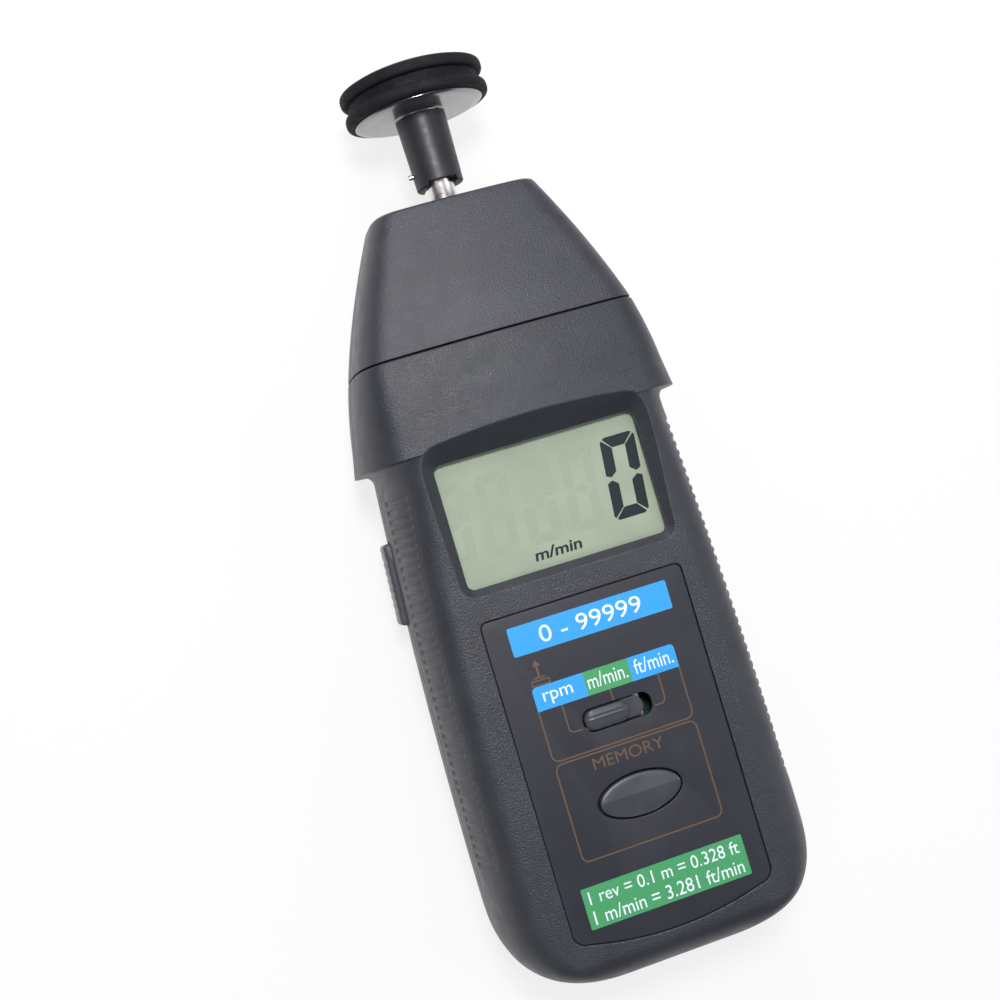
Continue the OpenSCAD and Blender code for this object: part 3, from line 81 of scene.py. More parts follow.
# First and last station on the bottom end's curve, in degrees from its start
END_FIRST, END_LAST = 85.9, 20
# Edges that turn by more degrees than this are drawn sharp
SHARP = 38

# Grip ribs on the flanks
RIB_PITCH, RIB_DEPTH, RIB_RECESS = 2, 0.3, 0.08
RIB_LOW_Y, RIB_HIGH_Y = -54.4, 26
RIB_LOW_Z, RIB_HIGH_Z, RIB_RISE = 23, 32.6, 2

# Back of the case
BAY_LOW_Y, BAY_HIGH_Y, BAY_HALF, BAY_WALL, BAY_TOP = -72.6, -16.9, 29.7, 1.2, 16.9
COVER_HALF, COVER_TOP_Y, COVER_T = 28.18, -13.7, 1.8
CASE_SCREWS = [(-17.5, -78.8), (17.5, -78.8), (-24.97, -8.9), (24.97, -8.9)]
CAP_SCREW_X, CAP_SCREW_Y, FLANGE_SCREW_X = 10.5, 59, 11
BUTTON_LOW_Y, BUTTON_HIGH_Y, BUTTON_SEAT_X = -1, 17, 30.06
BAY_SOLID_TOP = 17.5
TONGUE_HALF, TONGUE_L, TONGUE_LOW_Z, TONGUE_TOP_Z = 14, 12, 5.2, 7.6

# Print on the panel: its layer, the three tabs over the switch, the bars and the brown lines
PRINT_LOW_Z, PRINT_T, LETTER_LOW_Z, LETTER_T = PANEL_TOP_Z - 0.01, 0.03, PANEL_TOP_Z + 0.018, 0.02
TABS_LOW_Y, TABS_TOP_Y, TABS_TURN_X, TABS_END_X, TABS_R = -24.75, -19.75, 14.8, 15.7, 0.9
GREEN_FROM_X, GREEN_TO_X = -4.6, 5.35
BLUE_BAR_X, BLUE_BAR_Y, GREEN_BAR_Y = 0.4, -9.65, -66.25
FRAME_W, LINE_W, FRAME_HALF, FRAME_TURN_X, FRAME_TURN_Y, FRAME_R = 0.32, 0.3, 15.6, 14.1, -34.1, 1.5

# Digits of the display
DIGIT_X, DIGIT_Y, DIGIT_PITCH, DIGIT_LEAN = 12.3, 7.9, 9.4, 0.09

# Side of the wheel's disc that faces the case, its rims and its bore, the pin in its tube
WHEEL_FACE_Y = 104.15
WHEEL_R, WHEEL_END_Y, WHEEL_DOME = 14.3, 112.5, 0.98
TYRE_SEAT_R, TYRE_LOW_Y, TYRE_HIGH_Y = 13.11, 104.85, 112.3
HUB_LOW_Y, BORE_R, BORE_MOUTH_R, BORE_END_Y, PIN_Y = 87, 3.05, 3.45, 103.9, 91.5
LIP_BASE_R, LIP_HIGH, LIP_HALF = 14.515, 1.4, 1.3

# Camera, fitted to the photograph
VIEW_ANGLE, VIEW_AXIS = 19.857, (-1.59, 10.75, 16.62)
VIEW_DISTANCE, VIEW_SHIFT, VIEW_PIVOT = 339.04, 7.49, (0, 17, 19)
SENSOR_W, FOCAL_LENGTH = 36, 56.16

# Studio: share of plain white in the floor that the camera sees, and the sky round it
FLOOR_WHITE, SKY_LOW, SKY_HIGH, SKY_POWER = 0.8, (0.1, 0.105, 0.12, 1), (0.42, 0.44, 0.5, 1), 0.64
# Name, place, target, size and power of each lamp, in metres and watts, and a colour if it isn't white
LAMPS = [
    ("key", (-0.05, 0.21, 0.62), (0, 0.045, 0.03), (0.14, 0.12), 3.1),
    ("rear", (0.0, 0.75, 0.5), (0, 0.04, 0.03), (0.4, 0.3), 2.6),
    ("fill", (0.65, -0.15, 0.5), (0, 0, 0.03), (0.4, 0.6), 1.6, (0.93, 0.95, 1)),
    ("low", (-0.5, -0.3, 0.6), (0, -0.03, 0.03), (0.4, 0.4), 0.5),
]


def clamp01(v):
    return np.clip(v, 0, 1)


def smooth(v):
    t = clamp01(v)
    return t * t * (3 - 2 * t)


def arc(u, power):
    return np.maximum(1 - clamp01(u) ** power, 0) ** (1 / power)


def hood_share(y):
    return clamp01((NOSE_Y - y) / HOOD_L)


def hood_half(y):
    t = hood_share(y)
    lean = HOOD_W / 2 - TIP_FLICK - NOSE_W / 2
    return NOSE_W / 2 + lean * (1 - (1 - t) ** HOOD_BULGE) + TIP_FLICK * clamp01((t - 0.85) / 0.15) ** 2


def waist_half(y):
    turn = clamp01((TIP_Y - y) / (TIP_Y - WIDE_Y)) ** WAIST_BULGE
    return WAIST_W / 2 + (CASE_W - WAIST_W) / 2 * np.sin(turn * math.pi / 2)


def undercut_share(depth):
    """How much of the hood's overhang is left at a depth under its tips, with a rounded inner corner."""
    return 0.55 * np.exp(-depth / 0.03) + 0.45 * (1 - clamp01(depth)) ** 4 if depth < 1 else 0


def body_half(y):
    end = CASE_W / 2 * arc((WIDE_Y - y) / (WIDE_Y - END_Y), END_PLAN_POWER)
    plain = end if y < WIDE_Y else waist_half(y)
    return plain + (HOOD_W - WAIST_W) / 2 * undercut_share((TIP_Y - y) / UNDERCUT_L)


def half_w(y):
    return hood_half(y) if y >= TIP_Y else body_half(y)


def crown(y):
    if y >= TIP_Y:
        return CROWN_H * np.interp(hood_share(y), [0, 0.6, 1], [0.4, 0.85, 1])
    low = LCD_Y - LCD_H / 2
    return CROWN_H * smooth((y - low) / (TIP_Y - low))


def front_rise(y):
    if y >= TIP_Y:
        grown = np.interp(hood_share(y), [0, 0.25, 0.6, 0.8, 1], [0, 0.42, 0.9, 1, 1])
        return NOSE_H + (FRONT_H - NOSE_H) * grown
    return FRONT_H * arc((END_Y + END_ROUND - y) / END_ROUND, EDGE_POWER)


def back_rise(y):
    return NOSE_RISE * smooth((y - SEAM_Y + WALL) / (CAP_L + WALL))


def back_depth(y):
    return (SPLIT_H - back_rise(y)) * arc((END_Y + BACK_ROUND - y) / BACK_ROUND, BACK_POWER)


def flat_half(y):
    if y >= TIP_Y:
        share = np.interp(hood_share(y), [0, 0.3, 0.6, 0.85, 1], [0.6, 0.68, 0.76, 0.75, 0.72])
        return hood_half(y) * share
    return max(body_half(y) - SHOULDER_W, body_half(y) / 4)


def front_power(y):
    return np.interp(hood_share(y), [0, 0.6, 0.85, 1], [4, 3.2, 2.5, 2.3]) if y >= TIP_Y else EDGE_POWER


def inner_half(y):
    return min(half_w(min(max(y + d, END_Y), NOSE_Y)) for d in (-WALL, 0, WALL))


def even_walk(points, count, cost):
    """Points spread along a fine outline so that each step costs the same."""
    steps = np.linalg.norm(np.diff(points, axis=0), axis=1) * (cost[1:] + cost[:-1]) / 2
    along = np.concatenate([[0], np.cumsum(steps)])
    wanted = np.linspace(0, along[-1], count)
    return np.stack([np.interp(wanted, along, points[:, k]) for k in range(2)], axis=1)


def front_half_arc(y, t, count):
    """Right half of a front section, from the middle to the parting line, as (x, z)."""
    w = inner_half(y) - t if t else half_w(y)
    h = front_rise(y) - t
    f, power = min(flat_half(y), w * 0.8), front_power(y)
    c = 0 if t and y <= TIP_Y + WALL else crown(y)
    flat = np.linspace(0, f, 160)
    level_part = np.ones(len(flat))
    a = np.linspace(0, math.pi / 2, 300)[1:]
    x = np.concatenate([flat, f + (w - f) * np.sin(a) ** (2 / power)])
    z = h * np.concatenate([level_part, np.maximum(np.cos(a), 0) ** (2 / power)])
    fade = np.concatenate([level_part, np.maximum(np.cos(a), 0)])
    z = SPLIT_H + z + c * (1 - (x / w) ** 2) * fade
    # Finer steps beside the display's slopes
    cost = 1 + 1.6 * ((x > SLOPE_FROM_X) & (x < SLOPE_TO_X) & (z > WALL_LOW_Z))
    return even_walk(np.stack([x, z], axis=1), count, cost)


def back_half_arc(y, t, count):
    """Right half of a back section, from the parting line to the middle, as (x, z)."""
    w = inner_half(y) - t if t else half_w(y)
    d = back_depth(y) - t
    r = min(BACK_ROUND, w / 2)
    a = np.linspace(0, math.pi / 2, 200)
    x = np.concatenate([w - r + r * np.maximum(np.cos(a), 0) ** (2 / BACK_POWER), [0]])
    z = np.concatenate([SPLIT_H - d * np.sin(a) ** (2 / BACK_POWER), [SPLIT_H - d]])
    return even_walk(np.stack([x, z], axis=1), count, np.ones(len(x)))


def both_sides(half, y, from_middle=True):
    """A whole arc from left to right out of its right half."""
    half = half if from_middle else half[::-1]
    left = [(-x, y, z) for x, z in half[:0:-1]]
    right = [(x, y, z) for x, z in half]
    return left + right


def rounded_rect_distance(x, y, half_x, half_y, r):
    qx = np.abs(x) - half_x + r
    qy = np.abs(y) - half_y + r
    return np.hypot(np.maximum(qx, 0), np.maximum(qy, 0)) + np.minimum(np.maximum(qx, qy), 0) - r


def soft_min(a, b, blend):
    h = clamp01(0.5 + 0.5 * (b - a) / blend)
    return b + (a - b) * h - blend * h * (1 - h)


def grooved(x, away):
    """The x of a skin point with the parting line's groove, at a height away from that line."""
    return x - math.copysign(PART_LINE * (1 - smooth(away / PART_LINE_REACH)), x)


def shape_front(x, y, z):
    """Cuts the display's slopes and the flank's ribs into a point of the front skin."""
    apart = rounded_rect_distance(x, y - LCD_Y, LCD_W / 2, LCD_H / 2, LCD_R)
    slope_z = FACE_Z - LCD_DEPTH + BEZEL_SLOPE * max(apart, 0)
    z = soft_min(z, slope_z, 0.16) if apart < 12 else z
    if abs(x) > 20 and RIB_LOW_Y - 3 < y < RIB_HIGH_Y + 5:
        high_z = RIB_HIGH_Z + RIB_RISE * smooth(y / RIB_HIGH_Y)
        wave = clamp01(0.5 - 1.1 * math.cos(2 * math.pi * (y - RIB_HIGH_Y) / RIB_PITCH))
        reach = smooth((z - RIB_LOW_Z) / 0.9) * smooth((high_z - z) / 0.9)
        ends = smooth((y - RIB_LOW_Y) / 0.5) * smooth((RIB_HIGH_Y - y) / 0.5)
        middle_z, middle_y = (RIB_LOW_Z + high_z) / 2, (RIB_LOW_Y + RIB_HIGH_Y) / 2
        tall, long = (high_z - RIB_LOW_Z) / 2 + 1.2, (RIB_HIGH_Y - RIB_LOW_Y) / 2 + 2.4
        beside = rounded_rect_distance(z - middle_z, y - middle_y - 1, tall, long, 5)
        x -= math.copysign(RIB_RECESS * smooth(-beside / 0.9) + RIB_DEPTH * wave * reach * ends, x)
    return grooved(x, z - SPLIT_H), y, z


# Meshes

def placed(name, data):
    obj = bpy.data.objects.new(name, data)
    bpy.context.scene.collection.objects.link(obj)
    return obj


def discard(obj):
    mesh = obj.data
    bpy.data.objects.remove(obj)
    bpy.data.meshes.remove(mesh)


def mesh_object(name, verts, faces, angle=SHARP):
    mesh = bpy.data.meshes.new(name)
    mesh.from_pydata([(x * MM, y * MM, z * MM) for x, y, z in verts], [], faces)
    obj = placed(name, mesh)
    clean(obj)
    shade(obj, angle)
    return obj


def clean(obj):
    bm = bmesh.new()
    bm.from_mesh(obj.data)
    bmesh.ops.remove_doubles(bm, verts=bm.verts, dist=1e-7)
    bmesh.ops.recalc_face_normals(bm, faces=bm.faces)
    bm.to_mesh(obj.data)
    bm.free()


def shade(obj, angle=SHARP):
    obj.data.polygons.foreach_set("use_smooth", [True] * len(obj.data.polygons))
    obj.data.set_sharp_from_angle(angle=math.radians(angle))


def lofted(name, rings, angle=SHARP):
    """Closed skin through rings of the same count, with flat ends."""
    n = len(rings[0])
    verts = [p for ring in rings for p in ring]
    faces = [list(range(n))[::-1], list(range((len(rings) - 1) * n, len(rings) * n))]
    for j in range(len(rings) - 1):
        for i in range(n):
            k = (i + 1) % n
            faces.append([j * n + i, j * n + k, (j + 1) * n + k, (j + 1) * n + i])
    return mesh_object(name, verts, faces, angle)


def level(outline, z):
    return [(x, y, z) for x, y in outline]


def prism(name, outline, z0, z1):
    return lofted(name, [level(outline, z0), level(outline, z1)])


def block(name, x0, x1, y0, y1, z0, z1):
    return prism(name, [(x0, y0), (x1, y0), (x1, y1), (x0, y1)], z0, z1)


def post(name, x, y, r, z0, z1):
    return prism(name, oval(x, y, r, r, 64), z0, z1)


def turned(name, profile, count=160, closed=False, angle=SHARP):
    """Profile of (radius, y) points turned about the shaft's axis."""
    verts, faces, rows = [], [], []
    for r, y in profile:
        if r < 1e-6:
            rows.append([len(verts)] * count)
            verts.append((0, y, SPLIT_H))
            continue
        rows.append(list(range(len(verts), len(verts) + count)))
        for i in range(count):
            a = 2 * math.pi * i / count
            verts.append((r * math.sin(a), y, SPLIT_H + r * math.cos(a)))
    pairs = list(zip(rows, rows[1:])) + ([(rows[-1], rows[0])] if closed else [])
    for low, high in pairs:
        for i in range(count):
            k = (i + 1) % count
            face = [low[i], low[k], high[k], high[i]]
            face = [v for n, v in enumerate(face) if v != face[n - 1]]
            if len(face) > 2:
                faces.append(face)
    return mesh_object(name, verts, faces, angle)


def carve(obj, cutters, operation="DIFFERENCE"):
    """Cuts an object, or joins to it, and leaves one closed mesh."""
    for cutter in cutters:
        step = obj.modifiers.new("carve", "BOOLEAN")
        step.operation = operation
        step.solver = "MANIFOLD"
        step.object = cutter
    graph = bpy.context.evaluated_depsgraph_get()
    result = bpy.data.meshes.new_from_object(obj.evaluated_get(graph))
    obj.modifiers.clear()
    old = obj.data
    obj.data = result
    bpy.data.meshes.remove(old)
    for cutter in cutters:
        discard(cutter)
    shade(obj)
    return obj


def corner(cx, cy, r, start, count):
    steps = [math.radians(start + 90 * i / count) for i in range(count + 1)]
    return [(cx + r * math.cos(a), cy + r * math.sin(a)) for a in steps]


def round_rect(cx, cy, half_x, half_y, r, count=10):
    r = min(r, half_x - 1e-3, half_y - 1e-3)
    x, y = half_x - r, half_y - r
    turns = ((x, y, 0), (-x, y, 90), (-x, -y, 180), (x, -y, 270))
    return [p for u, v, start in turns for p in corner(cx + u, cy + v, r, start, count)]


def oval(cx, cy, half_x, half_y, count=144):
    turns = [2 * math.pi * i / count for i in range(count)]
    return [(cx + half_x * math.cos(a), cy + half_y * math.sin(a)) for a in turns]


def panel_outline(grow):
    half, top, low = PANEL_W / 2 + grow, PANEL_TOP + grow, PANEL_LOW - grow
    r, low_r = PANEL_R + grow, PANEL_LOW_R + grow
    sag = [(s * (half - low_r), low - PANEL_SAG * (1 - s * s)) for s in np.linspace(-1, 1, 41)[1:-1]]
    return (corner(half - r, top - r, r, 0, 12) + corner(-half + r, top - r, r, 90, 12)
            + corner(-half + low_r, low + low_r, low_r, 180, 12) + sag
            + corner(half - low_r, low + low_r, low_r, 270, 12))


def rolled(outline, z0, z1, r, way, count):
    """Rings of a wall whose upper edge rolls outwards (way 1) or inwards (way -1)."""
    rings = [level(outline(0), z0)]
    for a in np.radians(np.linspace(0, 90, count)):
        z = z1 - r + r * math.sin(a)
        rings.append(level(outline(way * r * (1 - math.cos(a))), z))
    return rings


def flared(name, outline, z0, z1, flare):
    """Cutter whose top edge opens outwards, so that the cut has a rounded lip."""
    top = level(outline(flare), z1 + 1)
    return lofted(name, rolled(outline, z0, z1, flare, 1, 7) + [top])


def rounded_slab(name, outline, z0, z1, edge, angle=30):
    """Plate with a small rounding along its upper edge."""
    return lofted(name, rolled(outline, z0, z1, edge, -1, 6), angle)


# Materials

class Shader:
    """Small helper that adds and links the nodes of one material."""

    def __init__(self, name):
        self.name = name
        self.material = bpy.data.materials.new(name)
        self.material.use_nodes = True
        self.tree = self.material.node_tree
        self.body = self.tree.nodes["Principled BSDF"]
        self.place = self.add("TexCoord").outputs["Object"]
        self.height = None

    def add(self, kind, **values):
        """New node of a kind, with the values given for its inputs or settings."""
        made = self.tree.nodes.new("ShaderNode" + kind)
        for key, value in values.items():
            if key in made.inputs:
                made.inputs[key].default_value = value
            else:
                setattr(made, key, value)
        return made

    def link(self, source, target):
        self.tree.links.new(source, target)

    def set(self, **values):
        for key, value in values.items():
            self.body.inputs[key.replace("_", " ")].default_value = value

    def noise(self, size, detail=2, stretch=(1, 1, 1), roughness=0.5):
        """Noise whose lumps are about size millimetres wide."""
        scaled = self.add("Mapping")
        scaled.inputs["Scale"].default_value = [s / (size * MM) for s in stretch]
        self.link(self.place, scaled.inputs["Vector"])
        made = self.add("TexNoise", Scale=1.0, Detail=detail, Roughness=roughness)
        self.link(scaled.outputs["Vector"], made.inputs["Vector"])
        return made.outputs["Fac"]

    def feed(self, key, source):
        self.link(source, self.body.inputs[key])

    def tint(self, source, colour, low, high):
        """Base colour that goes with a source from one share of colour to another."""
        made = self.add("ValToRGB")
        for stop, share, place in zip(made.color_ramp.elements, (low, high), (0.35, 0.65)):
            stop.position = place
            stop.color = [c * share for c in colour] + [1]
        self.link(source, made.inputs["Fac"])
        self.feed("Base Color", made.outputs["Color"])

    def roughen(self, source, low, high):
        """Roughness that goes with a source from low to high."""
        ends = {"From Min": 0.3, "From Max": 0.7, "To Min": low, "To Max": high}
        made = self.add("MapRange", **ends)
        self.link(source, made.inputs["Value"])
        self.feed("Roughness", made.outputs["Result"])

    def bump(self, source, depth, strength=1.0):
        """Adds relief of depth millimetres, on top of what is there."""
        made = self.add("Bump", Strength=strength, Distance=depth * MM)
        self.link(source, made.inputs["Height"])
        if self.height:
            self.link(self.height, made.inputs["Normal"])
        self.height = made.outputs["Normal"]
        self.feed("Normal", self.height)


def moulded(name, colour, rough=0.5, grain=0.45, depth=0.02, vary=0.12):
    """Moulded plastic with a pebble grain and slightly uneven colour."""
    s = Shader(name)
    s.tint(s.noise(9, detail=4), colour, 1 - vary, 1 + vary)
    s.roughen(s.noise(3.5, detail=3), rough - 0.05, rough + 0.06)
    s.bump(s.noise(grain, detail=2, roughness=0.6), depth)
    return s


def metal(name, colour, rough=0.25, turned_marks=False):
    """Metal, with fine rings round the shaft's axis where it was turned."""
    s = Shader(name)
    s.set(Metallic=1.0)
    stretch = (0.08, 1, 0.08) if turned_marks else (1, 1, 1)
    fine = s.noise(0.12, detail=3, stretch=stretch)
    s.tint(fine, colour, 0.86, 1)
    s.roughen(fine, rough * 0.8, rough * 1.3)
    s.bump(fine, 0.004)
    return s


def printed(name, colour, rough=0.45):
    """Screen-printed ink, slightly uneven."""
    s = Shader(name)
    s.tint(s.noise(0.5, detail=3), colour, 0.93, 1)
    s.set(Roughness=rough)
    s.bump(s.noise(0.3), 0.004)
    return s.material


def rubber(name, colour):
    s = Shader(name)
    s.tint(s.noise(2.5, detail=5), colour, 0.8, 1.25)
    s.roughen(s.noise(1.2, detail=4), 0.6, 0.8)
    s.set(Specular_IOR_Level=0.2)
    s.bump(s.noise(0.25, detail=3), 0.012)
    return s


def wheel_finish(name, colour, disc_y):
    """Dull plastic, polished on the side of the disc that faces the case."""
    s = Shader(name)
    s.tint(s.noise(5, detail=4), colour, 0.85, 1.15)
    s.roughen(s.noise(1.5, detail=3), 0.4, 0.5)
    place = s.add("SeparateXYZ")
    s.link(s.place, place.inputs["Vector"])
    polish = s.add("Math", operation="COMPARE")
    polish.inputs[1].default_value = (disc_y + 0.1) * MM
    polish.inputs[2].default_value = 0.5 * MM
    s.link(place.outputs["Y"], polish.inputs[0])
    s.feed("Coat Weight", polish.outputs["Value"])
    s.set(Coat_IOR=2.4, Coat_Roughness=0.16)
    s.bump(s.noise(0.8), 0.005)
    return s


def clear_sheet(name):
    s = Shader(name)
    s.set(Base_Color=(0.02, 0.03, 0.02, 1), Roughness=0.06, Alpha=0.08)
    s.bump(s.noise(14, detail=1), 0.01)
    return s


def board_green(name):
    s = Shader(name)
    # Colours darkened almost to black: partly the board's own green soldermask, partly painted shade for
    # the deep gap seen past the mode switch's slot.
    tracks = s.add("TexBrick", Scale=260.0, Color1=(0.003, 0.022, 0.009, 1),
                   Color2=(0.004, 0.028, 0.011, 1), Mortar=(0.008, 0.06, 0.025, 1))
    s.link(s.place, tracks.inputs["Vector"])
    s.feed("Base Color", tracks.outputs["Color"])
    s.set(Roughness=0.4)
    s.bump(s.noise(0.8), 0.01)
    return s


CASE_GREY = (0.027, 0.029, 0.038)
CAP_GREY = (0.036, 0.036, 0.048)
materials = {made.name: made.material for made in (
    moulded("case_plastic", CASE_GREY, rough=0.41, grain=0.32, depth=0.14),
    moulded("cap_plastic", CAP_GREY, rough=0.39, grain=0.32, depth=0.15),
    moulded("panel_film", (0.018, 0.0185, 0.027), grain=0.25, depth=0.008, vary=0.06),
    clear_sheet("window_plastic"),
    moulded("key_plastic", (0.055, 0.059, 0.069), rough=0.34, grain=0.3),
    wheel_finish("wheel_plastic", (0.022, 0.022, 0.028), WHEEL_FACE_Y),
    rubber("tyre_rubber", (0.009, 0.009, 0.012)),
    metal("bright_steel", (0.95, 0.87, 0.83), rough=0.3, turned_marks=True),
    metal("ball_steel", (0.8, 0.8, 0.82), rough=0.08),
    metal("dark_steel", (0.16, 0.16, 0.17), rough=0.35),
    metal("brass", (0.72, 0.52, 0.22), rough=0.3, turned_marks=True),
    metal("cast_alloy", (0.58, 0.58, 0.6), rough=0.45),
    rubber("seal_rubber", (0.02, 0.02, 0.02)),
    board_green("board_laminate"),
    moulded("display_glass", (0.43, 0.5, 0.37), rough=0.6, grain=6, depth=0.002, vary=0.05),
    moulded("holder_plastic", (0.7, 0.7, 0.64)),
    rubber("contact_rubber", (0.6, 0.25, 0.3)),
    moulded("black_plastic", (0.015, 0.015, 0.016), grain=0.2, depth=0.006),
    metal("plated_can", (0.7, 0.7, 0.72)),
    moulded("capacitor_sleeve", (0.02, 0.05, 0.2), rough=0.25, grain=1.5, depth=0.004),
    moulded("plunger_plastic", (0.5, 0.04, 0.03), rough=0.45, grain=0.3, depth=0.004),
    moulded("cell_jacket", (0.05, 0.22, 0.1), rough=0.25, grain=2.5, depth=0.004),
    metal("spring_steel", (0.68, 0.67, 0.64)),
    metal("tab_brass", (0.75, 0.66, 0.42), rough=0.3),
    moulded("red_insulation", (0.45, 0.02, 0.02), rough=0.4, grain=0.4, depth=0.004),
    moulded("black_insulation", (0.02, 0.02, 0.02), rough=0.4, grain=0.4, depth=0.004),
)}
INK_BLUE = printed("ink_blue", (0.027, 0.345, 0.8))
INK_GREEN = printed("ink_green", (0.06, 0.33, 0.125))
INK_WHITE = printed("ink_white", (0.8, 0.9, 0.92))
INK_BROWN = printed("ink_brown", (0.125, 0.073, 0.042))
INK_DISPLAY = printed("ink_display", (0.006, 0.012, 0.02), rough=0.4)
INK_GHOST = printed("ink_ghost", (0.42, 0.489, 0.362), rough=0.6)


def dress(obj, body, slot, nodes=(), material=None):
    """Gives a piece its material, that of its slot unless one is given, hangs it on its body and hides the
    nodes that it stands for.
    """
    obj.data.materials.clear()
    obj.data.materials.append(material or materials[slot])
    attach(obj, body)
    if nodes:
        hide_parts(*nodes)
    return obj


def dress_nodes():
    """Every node of the construction that stays shown gets its slot's material."""
    for row in frame["record"]["subparts"]:
        node = frame["nodes"][row["node"]]
        if not node.material_slots:
            node.data.materials.append(None)
        for place in node.material_slots:
            place.link = "OBJECT"
            place.material = materials[row["material_slot"]]


# Case

def cavity(ring_at, step, close_z):
    """Cutter inside a half shell, from its bottom wall to past the seam, closed at close_z."""
    low, high = END_Y + WALL + 0.4, SEAM_Y + 1
    places = [*np.arange(low, high, step), high, TIP_Y + WALL, TIP_Y + 2 * WALL]
    rings = []
    for y in np.unique(np.round(places, 4)):
        ring = ring_at(y)
        rings.append(ring + [(ring[-1][0], y, close_z), (ring[0][0], y, close_z)])
    return lofted("cavity", rings)


def stations(lip_steps, *groups):
    """Stations of the bottom end, the lip, the seam and the groups, in order and none too near another."""
    turns = np.radians(np.linspace(END_FIRST, END_LAST, 50))
    end = WIDE_Y - WIDE_FROM_END * np.sin(turns)
    lip = [TIP_Y - UNDERCUT_L * d for d in lip_steps]
    seam = [SEAM_Y - d for d in (0, 0.03, 0.08, 0.14, 0.22, 0.34, 0.5)]
    every = np.unique(np.round(np.concatenate([end, lip, seam, *groups]), 3))
    keep = [every[0]]
    for y in every[1:]:
        if y - keep[-1] > LEAST_STEP:
            keep.append(y)
    return keep


def front_stations():
    lip_steps = (0, 0.006, 0.015, 0.03, 0.045, 0.06, 0.09, 0.13, 0.2)
    bezel = np.arange(LCD_Y - LCD_H / 2 - 4, LCD_Y - LCD_H / 2 + 1, 0.16)
    upper = np.arange(TIP_Y - 6, TIP_Y + 3, 0.2)
    ribs = np.arange(RIB_LOW_Y - 1, RIB_HIGH_Y + 1, 0.25)
    below = np.arange(WIDE_Y - 8, RIB_LOW_Y, 0.6)
    above = np.arange(TIP_Y + 3, SEAM_Y - 0.6, 0.8)
    return stations(lip_steps, bezel, upper, ribs, below, above)


def seam_inset(y):
    """How far the skin is drawn in at a station, for the small rounding of its edge at the seam."""
    near = clamp01(1 - (SEAM_Y - y) / SEAM_ROUND_L)
    return SEAM_ROUND * (1 - math.sqrt(max(1 - near * near, 0)))


def display_outline(grow):
    return round_rect(0, LCD_Y, LCD_W / 2 + grow, LCD_H / 2 + grow, LCD_R)


def front_shell():
    rings = []
    for y in front_stations():
        ring = [shape_front(*p) for p in both_sides(front_half_arc(y, 0, 150), y)]
        inset = seam_inset(y)
        if inset:
            narrow = 1 - inset / SEAM_HALF
            ring = [(x * narrow, yy, z - inset * (z - SPLIT_H) / FRONT_H) for x, yy, z in ring]
        rings.append(ring)
    shell = lofted("front_shell", rings)
    cutters = [cavity(lambda y: both_sides(front_half_arc(y, WALL, 24), y), 3, SPLIT_H - 1),
               prism("opening", display_outline(0), WALL_LOW_Z, OPEN_TOP_Z),
               prism("seat", display_outline(PANE_SEAT_RIM), WALL_LOW_Z, PANE_TOP_Z),
               flared("recess", lambda g: panel_outline(PANEL_GAP + g), PANEL_SEAT_Z, FACE_Z, 0.3),
               prism("slot_hole", round_rect(1.9, SLOT_Y, 9.2, SLOT_H / 2, 1.5), HOLE_LOW_Z, HOLE_TOP_Z),
               prism("key_hole", oval(0, KEY_Y, KEY_L / 2, KEY_H / 2), HOLE_LOW_Z, HOLE_TOP_Z)]
    carve(shell, cutters)
    return dress(shell, "case", "case_plastic", ["front_case"])


def rear_ring(y, t, count=70):
    return both_sides(back_half_arc(y, t, count), y, from_middle=False)


def rear_stations():
    lip_steps = (0, 0.006, 0.015, 0.03, 0.06, 0.13, 0.3, 0.6, 1)
    return stations(lip_steps, np.arange(WIDE_Y - 8, SEAM_Y - 0.6, 1.2))


def rear_shell():
    rings = []
    for y in rear_stations():
        inset = seam_inset(y)
        ring = []
        for x, yy, z in rear_ring(y, 0):
            x = grooved(x, SPLIT_H - z) if abs(x) > 1 else x
            ring.append((x * (1 - inset / SEAM_HALF), yy, z + inset * (SPLIT_H - z) / SPLIT_H))
        rings.append(ring)
    shell = lofted("rear_shell", rings)
    pad = block("pad", -BEYOND, BEYOND, END_Y, BAY_LOW_Y - BAY_WALL, 0, WALL * 2)
    return carve(shell, [carve(cavity(lambda y: rear_ring(y, WALL, 20), 4, SPLIT_H + 1), [pad])])


